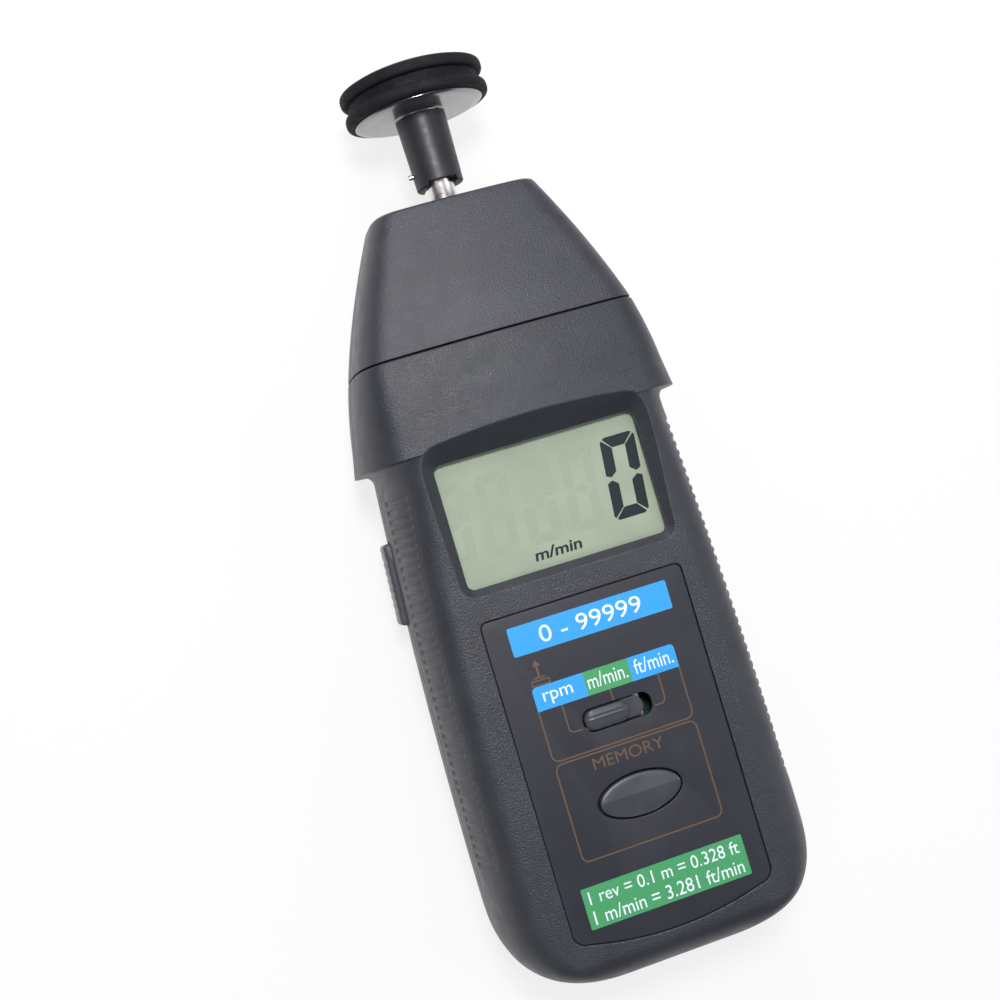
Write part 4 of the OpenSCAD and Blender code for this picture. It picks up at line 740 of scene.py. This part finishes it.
def rear_case():
    shell = rear_shell()
    half, low, high = BAY_HALF + BAY_WALL, BAY_LOW_Y - BAY_WALL, BAY_HIGH_Y + BAY_WALL
    tongue = SEAM_Y - TONGUE_L
    solids = [block("bay_end", -BAY_HALF + 1, BAY_HALF - 1, low, BAY_LOW_Y, WALL, BAY_SOLID_TOP),
              block("bay_front", -half, half, BAY_HIGH_Y, high, 1, BAY_SOLID_TOP),
              block("bay_roof", -half, half, low, high, BAY_TOP, BAY_TOP + BAY_WALL),
              block("tongue", -TONGUE_HALF, TONGUE_HALF, tongue, SEAM_Y + 12.6,
                    TONGUE_LOW_Z, TONGUE_TOP_Z),
              block("web", -TONGUE_HALF, TONGUE_HALF, tongue, tongue + WALL, 1, TONGUE_TOP_Z)]
    holes = []
    for x, y in CASE_SCREWS:
        solids += [post("seat", x, y, 3.6, 1, 6.6), post("boss", x, y, 3, 5.5, SPLIT_H)]
        holes += [post("head", x, y, 2.7, -0.5, 5.4), post("shank", x, y, 1.4, 5, SPLIT_H + 1)]
    carve(shell, solids, "UNION")
    holes += [post("cap_screw", side * CAP_SCREW_X, CAP_SCREW_Y, 1.05, 4.7, 8.1) for side in (-1, 1)]
    wide = COVER_HALF + 0.2
    holes += [block("cover_recess", -wide, wide, END_Y - 1, COVER_TOP_Y + 0.2, -0.5, COVER_T + 0.3),
              block("bay_opening", -wide, wide, BAY_LOW_Y, BAY_HIGH_Y, -0.4, 2.8),
              block("grooves", -wide - 1, wide + 1, END_Y - 0.5, BAY_HIGH_Y + 0.2, 0.6, 1.6),
              block("click", -2.5, 2.5, BAY_HIGH_Y - 0.5, COVER_TOP_Y + 0.2, -0.6, 3.7),
              block("button", -BEYOND, -BUTTON_SEAT_X, BUTTON_LOW_Y - 0.35, BUTTON_HIGH_Y + 0.35,
                    7.15, 15.85),
              block("flange", -BUTTON_SEAT_X - 0.3, -BUTTON_SEAT_X + 2.5, BUTTON_LOW_Y - 1.4,
                    BUTTON_HIGH_Y + 1.4, 6.1, SPLIT_H + 1)]
    carve(shell, holes)
    return dress(shell, "case", "case_plastic", ["rear_case"])


def battery_cover():
    form = lofted("battery_cover_skin", [rear_ring(y, 0, 40) for y in rear_stations()])
    slab = block("slab", -COVER_HALF, COVER_HALF, END_Y - 1, COVER_TOP_Y, -1, COVER_T)
    carve(form, [slab], "INTERSECT")
    tongues = [block("tongue", *sorted((side * (COVER_HALF - 0.5), side * (COVER_HALF + 0.8))),
                     BAY_LOW_Y, BAY_HIGH_Y, 0.8, 1.4) for side in (-1, 1)]
    click_y = BAY_HIGH_Y - BAY_WALL
    tongues += [block("click_post", -2.2, 2.2, click_y, COVER_TOP_Y - 0.5, 1.3, 3.4),
                block("click_arm", -2.2, 2.2, click_y - 0.01, COVER_TOP_Y + 1.6, 2.5, 3.41)]
    carve(form, tongues, "UNION")
    grips = [prism("grip", round_rect(0, y, 9, 0.55, 0.5), -1, 0.5) for y in np.arange(-32, -19, 2)]
    grips.append(prism("arrow", [(-4, -36), (4, -36), (0, -42)], -1, 0.4))
    carve(form, grips)
    return dress(form, "cover", "case_plastic", ["battery_cover"])


def whole_ring(y, t, count_front, count_back):
    front = both_sides(front_half_arc(y, t, count_front), y)
    return front + rear_ring(y, t, count_back)[::-1][1:-1]


def shrink(ring, inset):
    middle = (max(p[2] for p in ring) + min(p[2] for p in ring)) / 2
    tall = max(p[2] for p in ring) - middle
    wide = max(p[0] for p in ring)
    return [(x * (1 - inset / wide), y, middle + (z - middle) * (1 - inset / tall)) for x, y, z in ring]


def edge_inset(depth, r):
    return r - math.sqrt(max(r * r - (r - depth) ** 2, 0)) if depth < r else 0


def head_cap():
    low = SEAM_Y + SEAM_GAP
    plain = np.arange(low + 0.6, NOSE_Y - 1.4, 0.7)
    starts = [low + d for d in (0, 0.04, 0.1, 0.18, 0.3)]
    ends = [NOSE_Y - d for d in (0, 0.04, 0.1, 0.2, 0.4, 0.7)]
    rings = []
    for y in sorted(np.concatenate([starts, plain, ends])):
        ring = whole_ring(y, 0, 120, 60)
        ring = [(grooved(x, abs(z - SPLIT_H)), yy, z) for x, yy, z in ring]
        rings.append(shrink(ring, edge_inset(y - low, 0.24) + edge_inset(NOSE_Y - y, 0.7)))
    shell = lofted("head_cap_shell", rings)
    inner = [whole_ring(y, WALL, 24, 16) for y in np.arange(SEAM_Y - 1, NOSE_Y - WALL + 0.01, 3.2)]
    inner.append(whole_ring(NOSE_Y - WALL, WALL, 24, 16))
    carve(shell, [lofted("cavity", inner)])
    nose_hole = [(0, 79), (4.2, 79), (4.2, 82.5), (4.7, 83), (4.7, 84), (0, 84)]
    solids, holes = [], [turned("nose_hole", nose_hole)]
    for side in (-1, 1):
        x = side * CAP_SCREW_X
        solids += [rod("flange_post", "Y", (side * FLANGE_SCREW_X, SPLIT_H), 2.4, 77.6, 81.6),
                   post("cap_post", x, CAP_SCREW_Y, 2.6, 1.6, 5.2)]
        holes += [rod("flange_hole", "Y", (side * FLANGE_SCREW_X, SPLIT_H), 1.05, 77, 81.5),
                  post("counterbore", x, CAP_SCREW_Y, 2.1, -0.5, 2.4),
                  post("cap_hole", x, CAP_SCREW_Y, 1.1, 1.5, 5.7)]
    carve(shell, solids, "UNION")
    carve(shell, holes)
    return dress(shell, "case", "cap_plastic", ["head_cap"])


def rod(name, axis, centre, r, low, high, count=48, edge=0.0):
    """Round rod along X or Y, with rounded ends if edge is given."""
    steps = [(low, edge), (low + edge * 0.3, edge * 0.3), (low + edge, 0), (high - edge, 0),
             (high - edge * 0.3, edge * 0.3), (high, edge)] if edge else [(low, 0), (high, 0)]
    rings = []
    for place, inset in steps:
        ring = []
        for i in range(count):
            a = 2 * math.pi * i / count
            u, v = centre[0] + (r - inset) * math.cos(a), centre[1] + (r - inset) * math.sin(a)
            ring.append((u, place, v) if axis == "Y" else (place, u, v))
        rings.append(ring)
    return lofted(name, rings)


# Panel, its print and the display

def slot_outline(grow):
    return round_rect(SLOT_X, SLOT_Y, SLOT_L / 2 + grow, SLOT_H / 2 + grow, SLOT_R + grow, 14)


def key_outline(grow):
    return oval(0, KEY_Y, KEY_L / 2 + grow, KEY_H / 2 + grow)


def panel_overlay():
    plate = rounded_slab("panel_plate", panel_outline, PANEL_SEAT_Z, PANEL_TOP_Z, 0.16)
    carve(plate, [flared("slot", slot_outline, PANEL_SEAT_Z - 1, PANEL_TOP_Z, 0.14),
                  flared("key", key_outline, PANEL_SEAT_Z - 1, PANEL_TOP_Z, 0.2)])
    return dress(plate, "case", "panel_film", ["panel_overlay"])


def ink(name, parts, material, slot="panel_film"):
    """Joins thin printed shapes into one piece."""
    bm = bmesh.new()
    for part in parts:
        bm.from_mesh(part.data)
        discard(part)
    mesh = bpy.data.meshes.new(name)
    bm.to_mesh(mesh)
    bm.free()
    return dress(placed(name, mesh), "case", slot, material=material)


def patch(outline):
    return prism("patch", outline, PRINT_LOW_Z, PRINT_LOW_Z + PRINT_T)


def layered(points):
    """The points twice, at the lower and at the upper face of the print."""
    return [(px, py, pz) for pz in (PRINT_LOW_Z, PRINT_LOW_Z + PRINT_T) for px, py in points]


def line(points, width):
    """Printed line of a steady width through points."""
    path = np.array(points, dtype=float)
    way = np.diff(path, axis=0)
    way /= np.linalg.norm(way, axis=1)[:, None]
    side = np.stack([-way[:, 1], way[:, 0]], axis=1)
    mitre = np.vstack([side[:1], side[:-1] + side[1:], side[-1:]])
    mitre /= (mitre * np.vstack([side[:1], side])).sum(axis=1)[:, None]
    left, right = path + mitre * width / 2, path - mitre * width / 2
    n = len(path)
    faces = [[0, n, 3 * n, 2 * n], [n - 1, 3 * n - 1, 4 * n - 1, 2 * n - 1]]
    for i in range(n - 1):
        faces += [[i, i + 1, n + i + 1, n + i], [2 * n + i, 3 * n + i, 3 * n + i + 1, 2 * n + i + 1],
                  [i, 2 * n + i, 2 * n + i + 1, i + 1], [n + i, n + i + 1, 3 * n + i + 1, 3 * n + i]]
    return mesh_object("line", layered(np.vstack([left, right])), faces)


def frame_line(x, y, half_x, half_y, r, width):
    outer = round_rect(x, y, half_x + width / 2, half_y + width / 2, r + width / 2)
    inner = round_rect(x, y, half_x - width / 2, half_y - width / 2, r - width / 2)
    n = len(outer)
    faces = []
    for i in range(n):
        k = (i + 1) % n
        faces += [[i, n + i, n + k, k], [2 * n + i, 2 * n + k, 3 * n + k, 3 * n + i],
                  [i, k, 2 * n + k, 2 * n + i], [n + i, 3 * n + i, 3 * n + k, n + k]]
    return mesh_object("frame_line", layered(outer + inner), faces)


def words(text, x, y, wide, high, z=LETTER_LOW_Z, thick=LETTER_T, bold=0.0, slant=0.0):
    """Plain letters fitted into a box round (x, y)."""
    curve = bpy.data.curves.new("words", "FONT")
    curve.body = text
    curve.offset = bold
    curve.shear = slant
    curve.extrude = 0.5
    curve.resolution_u = 4
    maker = placed("words", curve)
    mesh = bpy.data.meshes.new_from_object(maker.evaluated_get(bpy.context.evaluated_depsgraph_get()))
    bpy.data.objects.remove(maker)
    bpy.data.curves.remove(curve)
    co = np.empty(len(mesh.vertices) * 3)
    mesh.vertices.foreach_get("co", co)
    co = co.reshape(-1, 3)
    low, high_corner = co.min(axis=0), co.max(axis=0)
    unit = (co - (low + high_corner) / 2) / (high_corner - low)
    co = (unit * (wide, high, thick) + (x, y, z + thick / 2)) * MM
    mesh.vertices.foreach_set("co", co.ravel())
    obj = placed("words", mesh)
    clean(obj)
    return obj


def tab(side, inner_x):
    """Outer tab of the row, with its outer upper corner rounded."""
    turn = corner(side * TABS_TURN_X, TABS_TOP_Y - TABS_R, TABS_R, 45 - 45 * side, 6)
    plain = [(inner_x, TABS_TOP_Y), (inner_x, TABS_LOW_Y), (side * TABS_END_X, TABS_LOW_Y)]
    return patch(turn + (plain if side > 0 else plain[::-1]))


def panel_print():
    blue_bar = patch(round_rect(BLUE_BAR_X, BLUE_BAR_Y, 17.6, 3.05, 0.4, 3))
    ink("print_blue", [blue_bar, tab(-1, GREEN_FROM_X), tab(1, GREEN_TO_X)], INK_BLUE)
    green_tab = patch([(GREEN_FROM_X, TABS_LOW_Y), (GREEN_TO_X, TABS_LOW_Y),
                       (GREEN_TO_X, TABS_TOP_Y), (GREEN_FROM_X, TABS_TOP_Y)])
    ink("print_green", [green_tab, patch(round_rect(0, GREEN_BAR_Y, 17.95, 4.3, 0.3, 3))], INK_GREEN)
    ink("print_white", [
        words("0 - 99999", BLUE_BAR_X, BLUE_BAR_Y, 22.5, 3.5),
        words("rpm", -10.6, -22.6, 6.4, 2.7),
        words("m/min.", 0.35, -22.05, 8.7, 3.1),
        words("ft/min.", 10.6, -22.05, 8.6, 3.1),
        words("1 rev = 0.1 m = 0.328 ft", 0, -64.2, 33.4, 2.7),
        words("1 m/min = 3.281 ft/min", 0, -68.35, 33.4, 2.9)], INK_WHITE)
    brown = [frame_line(0, -46.65, FRAME_HALF, 10.35, FRAME_R, FRAME_W),
             words("MEMORY", 0, -38.45, 15.6, 2.5, LETTER_LOW_Z - 0.03, 0.03)]
    round_end = [(FRAME_TURN_X + FRAME_R * math.cos(a), FRAME_TURN_Y + FRAME_R * math.sin(a))
                 for a in np.linspace(0, -math.pi / 2, 9)]
    half = [(FRAME_HALF, TABS_LOW_Y)] + round_end
    brown.append(line(half + [(-x, y) for x, y in half[::-1]], FRAME_W))
    # Lines from the tabs to the places of the switch, then the arrow and the small wheel on a line
    for points in ([(-10.5, TABS_LOW_Y), (-10.5, -29.9), (-10.3, -30.5), (-9.7, -30.85), (-7.7, -30.85)],
                   [(0.15, TABS_LOW_Y), (0.15, -27.1)],
                   [(10.8, TABS_LOW_Y), (10.8, -29.7), (10.6, -30.4), (10, -30.9), (8.3, -30.9)]):
        brown.append(line(points, LINE_W))
    brown.append(patch([(-13.6, -17.9), (-13.1, -17.9), (-13.1, -15.6), (-12.45, -15.6), (-13.35, -14.3),
                        (-14.25, -15.6), (-13.6, -15.6)]))
    brown.append(line([(-14.6, -18), (-12.1, -18)], LINE_W))
    brown.append(frame_line(-13.35, -19.05, 1.9, 0.5, 0.2, LINE_W))
    ink("print_brown", brown, INK_BROWN)


def segments(x, y, wide, high, t, gap, lean, which, z):
    """Segments of one digit with mitred ends, standing on (x, y)."""
    mid, cut, g = high / 2, t * 0.42, gap / 2
    shapes = {
        "a": [(cut * 0.45 + g, high - cut * 0.3), (cut + g, high), (wide - cut - g, high),
              (wide - cut * 0.45 - g, high - cut * 0.3), (wide - t - g, high - t), (t + g, high - t)],
        "f": [(0, mid + t * 0.3 + g), (0, high - cut), (cut * 0.3, high - cut * 0.45 - g),
              (t, high - t - g), (t, mid + t * 0.5 + g), (t * 0.45, mid + g * 3)],
        "g": [(t * 0.9, mid), (t * 1.3, mid + t * 0.4), (wide - t * 1.3, mid + t * 0.4),
              (wide - t * 0.9, mid), (wide - t * 1.3, mid - t * 0.4), (t * 1.3, mid - t * 0.4)],
    }
    shapes["b"] = [(wide - px, py) for px, py in shapes["f"]]
    shapes["e"] = [(px, high - py) for px, py in shapes["f"]]
    shapes["c"] = [(wide - px, high - py) for px, py in shapes["f"]]
    shapes["d"] = [(px, high - py) for px, py in shapes["a"]]
    made = []
    for key in which:
        outline = [(x + px + lean * py, y + py) for px, py in shapes[key]]
        made.append(prism("segment", outline, z - 0.02, z + 0.03))
    return made


def display_print():
    low = GLASS_TOP_Z
    shown = segments(DIGIT_X, DIGIT_Y, 7.8, 17.5, 2.4, 0.22, DIGIT_LEAN, "abcdef", low)
    shown.append(words("m/min", -1.2, 5.9, 10.4, 2.5, low - 0.01, 0.04, bold=0.022, slant=0.12))
    ink("display_digits", shown, INK_DISPLAY, slot="display_glass")
    ghosts = []
    for i in range(4):
        x = DIGIT_X - DIGIT_PITCH * (i + 1)
        ghosts += segments(x, DIGIT_Y, 7.2, 17.2, 2.2, 0.3, DIGIT_LEAN, "abcdefg", low - 0.012)
    ink("display_ghosts", ghosts, INK_GHOST, slot="display_glass")


def display_window():
    pane = rounded_slab("display_pane", lambda g: display_outline(PANE_RIM + g),
                        PANE_LOW_Z, PANE_TOP_Z, 0.1)
    return dress(pane, "case", "window_plastic", ["display_window"])


# Keys

def domed(name, outline, z0, z_edge, height, rows=14):
    """Closed solid whose top follows height(x, y, share). Share is 1 at the outline, 0 in the middle."""
    rim = outline(0)
    cx = sum(p[0] for p in rim) / len(rim)
    cy = sum(p[1] for p in rim) / len(rim)
    rings = [level(rim, z0), level(rim, z_edge)]
    for s in np.linspace(0.985, 0.02, rows) ** 0.9:
        ring = []
        for x, y in rim:
            px, py = cx + (x - cx) * s, cy + (y - cy) * s
            ring.append((px, py, height(px, py, s)))
        rings.append(ring)
    return lofted(name, rings, 42)


def mode_knob():
    left = SLOT_X - SLOT_L / 2 + KNOB_GAP
    half, r = SLOT_H / 2 - KNOB_GAP, SLOT_R - 0.05
    middle = left + KNOB_L / 2

    def grip_z(x, y, s):
        v = (y - SLOT_Y) / half
        ridges = 0.16 * (0.5 + 0.5 * math.cos(2 * math.pi * (v - 0.1) / 0.42)) * smooth((v + 0.1) / 0.15)
        roof = 1.16 - 0.62 * max(-v, 0) ** 1.3 - 0.7 * max(v - 0.45, 0) ** 1.2
        ends = 0.5 * clamp01((abs(x - middle) - KNOB_L / 2 + 1.8) / 1.8) ** 2
        return PANEL_TOP_Z + (roof + ridges - ends) * arc(s, 7) ** 1.2 - 0.05

    grip = domed("mode_grip", lambda g: round_rect(middle, SLOT_Y, KNOB_L / 2, half, r, 16), 34.8,
                 PANEL_TOP_Z - 0.25, grip_z, 30)
    apron = rounded_slab(
        "apron", lambda g: round_rect(left + APRON_HALF, SLOT_Y, APRON_HALF + g, half + g, r, 12),
        34.6, 35.3, 0.12)
    fork = block("fork", -4.65, -0.65, SLOT_Y - 1.4, SLOT_Y + 1.4, 33.7, 35)
    carve(grip, [apron, fork], "UNION")
    return dress(grip, "mode_slider", "key_plastic", ["mode_knob"])


def memory_key():
    half_x, half_y = KEY_L / 2 - KEY_GAP, KEY_H / 2 - KEY_GAP
    crease, low, high = 0.1, 36.1, 1.12

    def key_z(x, y, s):
        v = (y - KEY_Y) / half_y
        away = math.sqrt((v - crease) ** 2 + 0.0004)
        fall = 0.34 if v > crease else 1.05
        return low + (high - fall * away) * arc(s, 9)

    key = domed("memory_dome", lambda g: oval(0, KEY_Y, half_x, half_y, 160), 33.4, 36.15, key_z, 34)
    flange = prism("flange", oval(0, KEY_Y, KEY_L / 2 + 0.8, KEY_H / 2 + 0.8), 33.3, 34.1)
    carve(key, [flange], "UNION")
    return dress(key, "memory_button", "key_plastic", ["memory_key"])


def measure_button():
    def outline(inset):
        ys = np.linspace(BUTTON_LOW_Y + inset, BUTTON_HIGH_Y - inset, 97)
        face = []
        for y in ys:
            near = min(y - BUTTON_LOW_Y, BUTTON_HIGH_Y - y)
            wave = 0.5 + 0.5 * math.cos(2 * math.pi * (y - BUTTON_LOW_Y - 9) / 1.8)
            ridge = 0.14 * wave * smooth(near / 2 - 0.6)
            face.append((-half_w(y) - 1.4 + inset + ridge + edge_inset(near, 0.9), y))
        return face + [(-BUTTON_SEAT_X + 0.6, ys[-1]), (-BUTTON_SEAT_X + 0.6, ys[0])]

    levels = [(7.5, 0.5), (7.65, 0.2), (8, 0), (15, 0), (15.35, 0.2), (15.5, 0.5)]
    button = lofted("measure_cap", [level(outline(inset), z) for z, inset in levels])
    seat = -BUTTON_SEAT_X
    parts = [block("flange", seat, seat + 1.2, BUTTON_LOW_Y - 1.1, BUTTON_HIGH_Y + 1.1, 6.4, 16.6),
             block("finger", seat + 0.01, seat + 1.4, 5, 11, 11.5, 26.4),
             block("nub", seat + 0.7, seat + 2.5, 7, 9, 24, 26)]
    carve(button, parts, "UNION")
    return dress(button, "side_button", "key_plastic", ["measure_button"])


# Wheel and spindle

def fillet(cx, cy, r, start, end, count=8):
    return [(cx + r * math.cos(math.radians(a)), cy + r * math.sin(math.radians(a)))
            for a in np.linspace(start, end, count)]


def wheel_hub():
    low, face = NOSE_Y + 5, WHEEL_FACE_Y
    profile = [(0, low), (4.95, low), (5.2, low + 0.25), (5.55, face - 0.5)]
    profile += fillet(6, face - 0.45, 0.45, 180, 90, 6)
    profile += [(11.3, face), (11.9, face + 0.05)]
    # The disc's face curves away from the case towards its rim
    profile += [(11.9 + 2.2 * s, face + 0.05 + 0.32 * s ** 2) for s in np.linspace(0.1, 1, 8)]
    profile += [(WHEEL_R, TYRE_LOW_Y - 0.2), (WHEEL_R, TYRE_LOW_Y), (TYRE_SEAT_R, TYRE_LOW_Y),
                (TYRE_SEAT_R, TYRE_HIGH_Y), (WHEEL_R, TYRE_HIGH_Y), (WHEEL_R, WHEEL_END_Y)]
    profile += [(WHEEL_R * math.cos(a), WHEEL_END_Y + WHEEL_DOME * math.sin(a))
                for a in np.linspace(0.12, math.pi / 2, 24)]
    hub = turned("wheel_body", profile, 220)
    bore = [(0, HUB_LOW_Y), (BORE_MOUTH_R, HUB_LOW_Y), (BORE_R, 88.35), (BORE_R, BORE_END_Y),
            (0, BORE_END_Y)]
    carve(hub, [turned("bore", bore, 96),
                block("notch", -3.2, 3.2, HUB_LOW_Y, low + 1, 10, 28),
                rod("pin_hole", "X", (PIN_Y, SPLIT_H), 0.57, -7, 0)])
    return dress(hub, "wheel", "wheel_plastic", ["wheel_hub"])


def tyre_lip(y):
    """Squarish lip with rounded corners, 2.6 mm wide and 1.4 mm high."""
    turns = np.linspace(-math.pi / 2, math.pi / 2, 26)
    return [(LIP_BASE_R + LIP_HIGH * max(math.cos(a), 0) ** 0.55,
             y + LIP_HALF * math.copysign(abs(math.sin(a)) ** 0.75, a)) for a in turns]


def wheel_tyre():
    inner, low, high = TYRE_SEAT_R + 0.04, TYRE_LOW_Y + 0.05, TYRE_HIGH_Y - 0.05
    profile = [(inner, low)] + tyre_lip(low + LIP_HALF) + tyre_lip(high - LIP_HALF) + [(inner, high)]
    tyre = turned("tyre", profile, 240, closed=True, angle=50)
    return dress(tyre, "wheel", "tyre_rubber", ["wheel_tyre"])


def hub_grip_pin():
    pin = rod("grip_pin", "X", (PIN_Y, SPLIT_H), 0.55, -6.35, -3.15, edge=0.2)
    return dress(pin, "wheel", "bright_steel", ["hub_grip_pin"])


def spindle_shaft():
    thin, thick, groove, score = 2.5, 3, 2.1, 2.94
    low, shoulder, high = 44.4, 79.6, 103.3
    profile = [(0, low), (2, low), (thin, low + 0.5), (thin, 57), (groove, 57), (groove, 57.6),
               (thin, 57.6), (thin, shoulder), (thick, shoulder), (thick, 83.6), (score, 83.7),
               (score, 84), (thick, 84.1), (thick, high - 0.5), (thin, high), (0, high)]
    return dress(turned("shaft", profile, 96), "spindle", "bright_steel", ["spindle_shaft"])


# Studio

def floor_and_sky():
    # A hair under the case, so that the two faces never coincide
    bpy.ops.mesh.primitive_plane_add(size=8, location=(0, 0, -0.00002))
    floor = bpy.context.object
    floor.name = "floor"
    s = Shader("floor")
    s.set(Roughness=0.7, Base_Color=(0.82, 0.82, 0.82, 1))
    floor.data.materials.append(s.material)
    glow = s.add("Emission", Strength=1.0)
    shown = s.add("MixShader")
    light = s.add("LightPath")
    share = s.add("Math", operation="MULTIPLY")
    share.inputs[1].default_value = FLOOR_WHITE
    seen = s.add("Math", operation="MAXIMUM")
    s.link(light.outputs["Is Camera Ray"], seen.inputs[0])
    s.link(light.outputs["Is Glossy Ray"], seen.inputs[1])
    s.link(seen.outputs["Value"], share.inputs[0])
    s.link(share.outputs["Value"], shown.inputs["Fac"])
    s.link(s.body.outputs["BSDF"], shown.inputs[1])
    s.link(glow.outputs["Emission"], shown.inputs[2])
    s.link(shown.outputs["Shader"], s.tree.nodes["Material Output"].inputs["Surface"])
    world = bpy.data.worlds.new("studio")
    bpy.context.scene.world = world
    world.use_nodes = True
    tree = world.node_tree
    back = tree.nodes["Background"]
    kinds = ("TexCoord", "SeparateXYZ", "ValToRGB", "Background", "LightPath", "MixShader")
    up, split, fade, white, path, mix = [tree.nodes.new("ShaderNode" + kind) for kind in kinds]
    for stop, colour, place in zip(fade.color_ramp.elements, (SKY_LOW, SKY_HIGH), (0.05, 0.9)):
        stop.color = colour
        stop.position = place
    back.inputs["Strength"].default_value = SKY_POWER
    white.inputs["Strength"].default_value = 1.0
    for source, target in (
            (up.outputs["Generated"], split.inputs["Vector"]),
            (split.outputs["Z"], fade.inputs["Fac"]),
            (fade.outputs["Color"], back.inputs["Color"]),
            (path.outputs["Is Camera Ray"], mix.inputs["Fac"]),
            (back.outputs["Background"], mix.inputs[1]),
            (white.outputs["Background"], mix.inputs[2]),
            (mix.outputs["Shader"], tree.nodes["World Output"].inputs["Surface"])):
        tree.links.new(source, target)


def lamp(name, place, target, size, power, colour=(1, 1, 1)):
    light = bpy.data.lights.new(name, "AREA")
    light.shape = "RECTANGLE"
    light.size, light.size_y = size
    light.energy = power
    light.color = colour
    obj = placed(name, light)
    obj.location = place
    aim = Vector(target) - Vector(place)
    obj.rotation_euler = aim.to_track_quat("-Z", "Y").to_euler()


def camera():
    turn = Matrix.Rotation(math.radians(VIEW_ANGLE), 3, Vector(VIEW_AXIS))
    place = turn.transposed() @ (Vector((0, 0, VIEW_DISTANCE)) - Vector((VIEW_SHIFT, 0, 0)))
    lens = bpy.data.cameras.new("camera")
    lens.sensor_width, lens.lens = SENSOR_W, FOCAL_LENGTH
    lens.clip_start = 0.01
    obj = placed("camera", lens)
    obj.matrix_world = (Matrix.Translation((place + Vector(VIEW_PIVOT)) * MM)
                        @ turn.transposed().to_4x4())
    bpy.context.scene.camera = obj


def build():
    dress_nodes()
    front_shell()
    rear_case()
    battery_cover()
    head_cap()
    panel_overlay()
    panel_print()
    display_window()
    display_print()
    mode_knob()
    memory_key()
    measure_button()
    wheel_hub()
    wheel_tyre()
    hub_grip_pin()
    spindle_shaft()


build()
floor_and_sky()
for row in LAMPS:
    lamp(*row)
camera()
bpy.context.scene.view_settings.view_transform = "Standard"
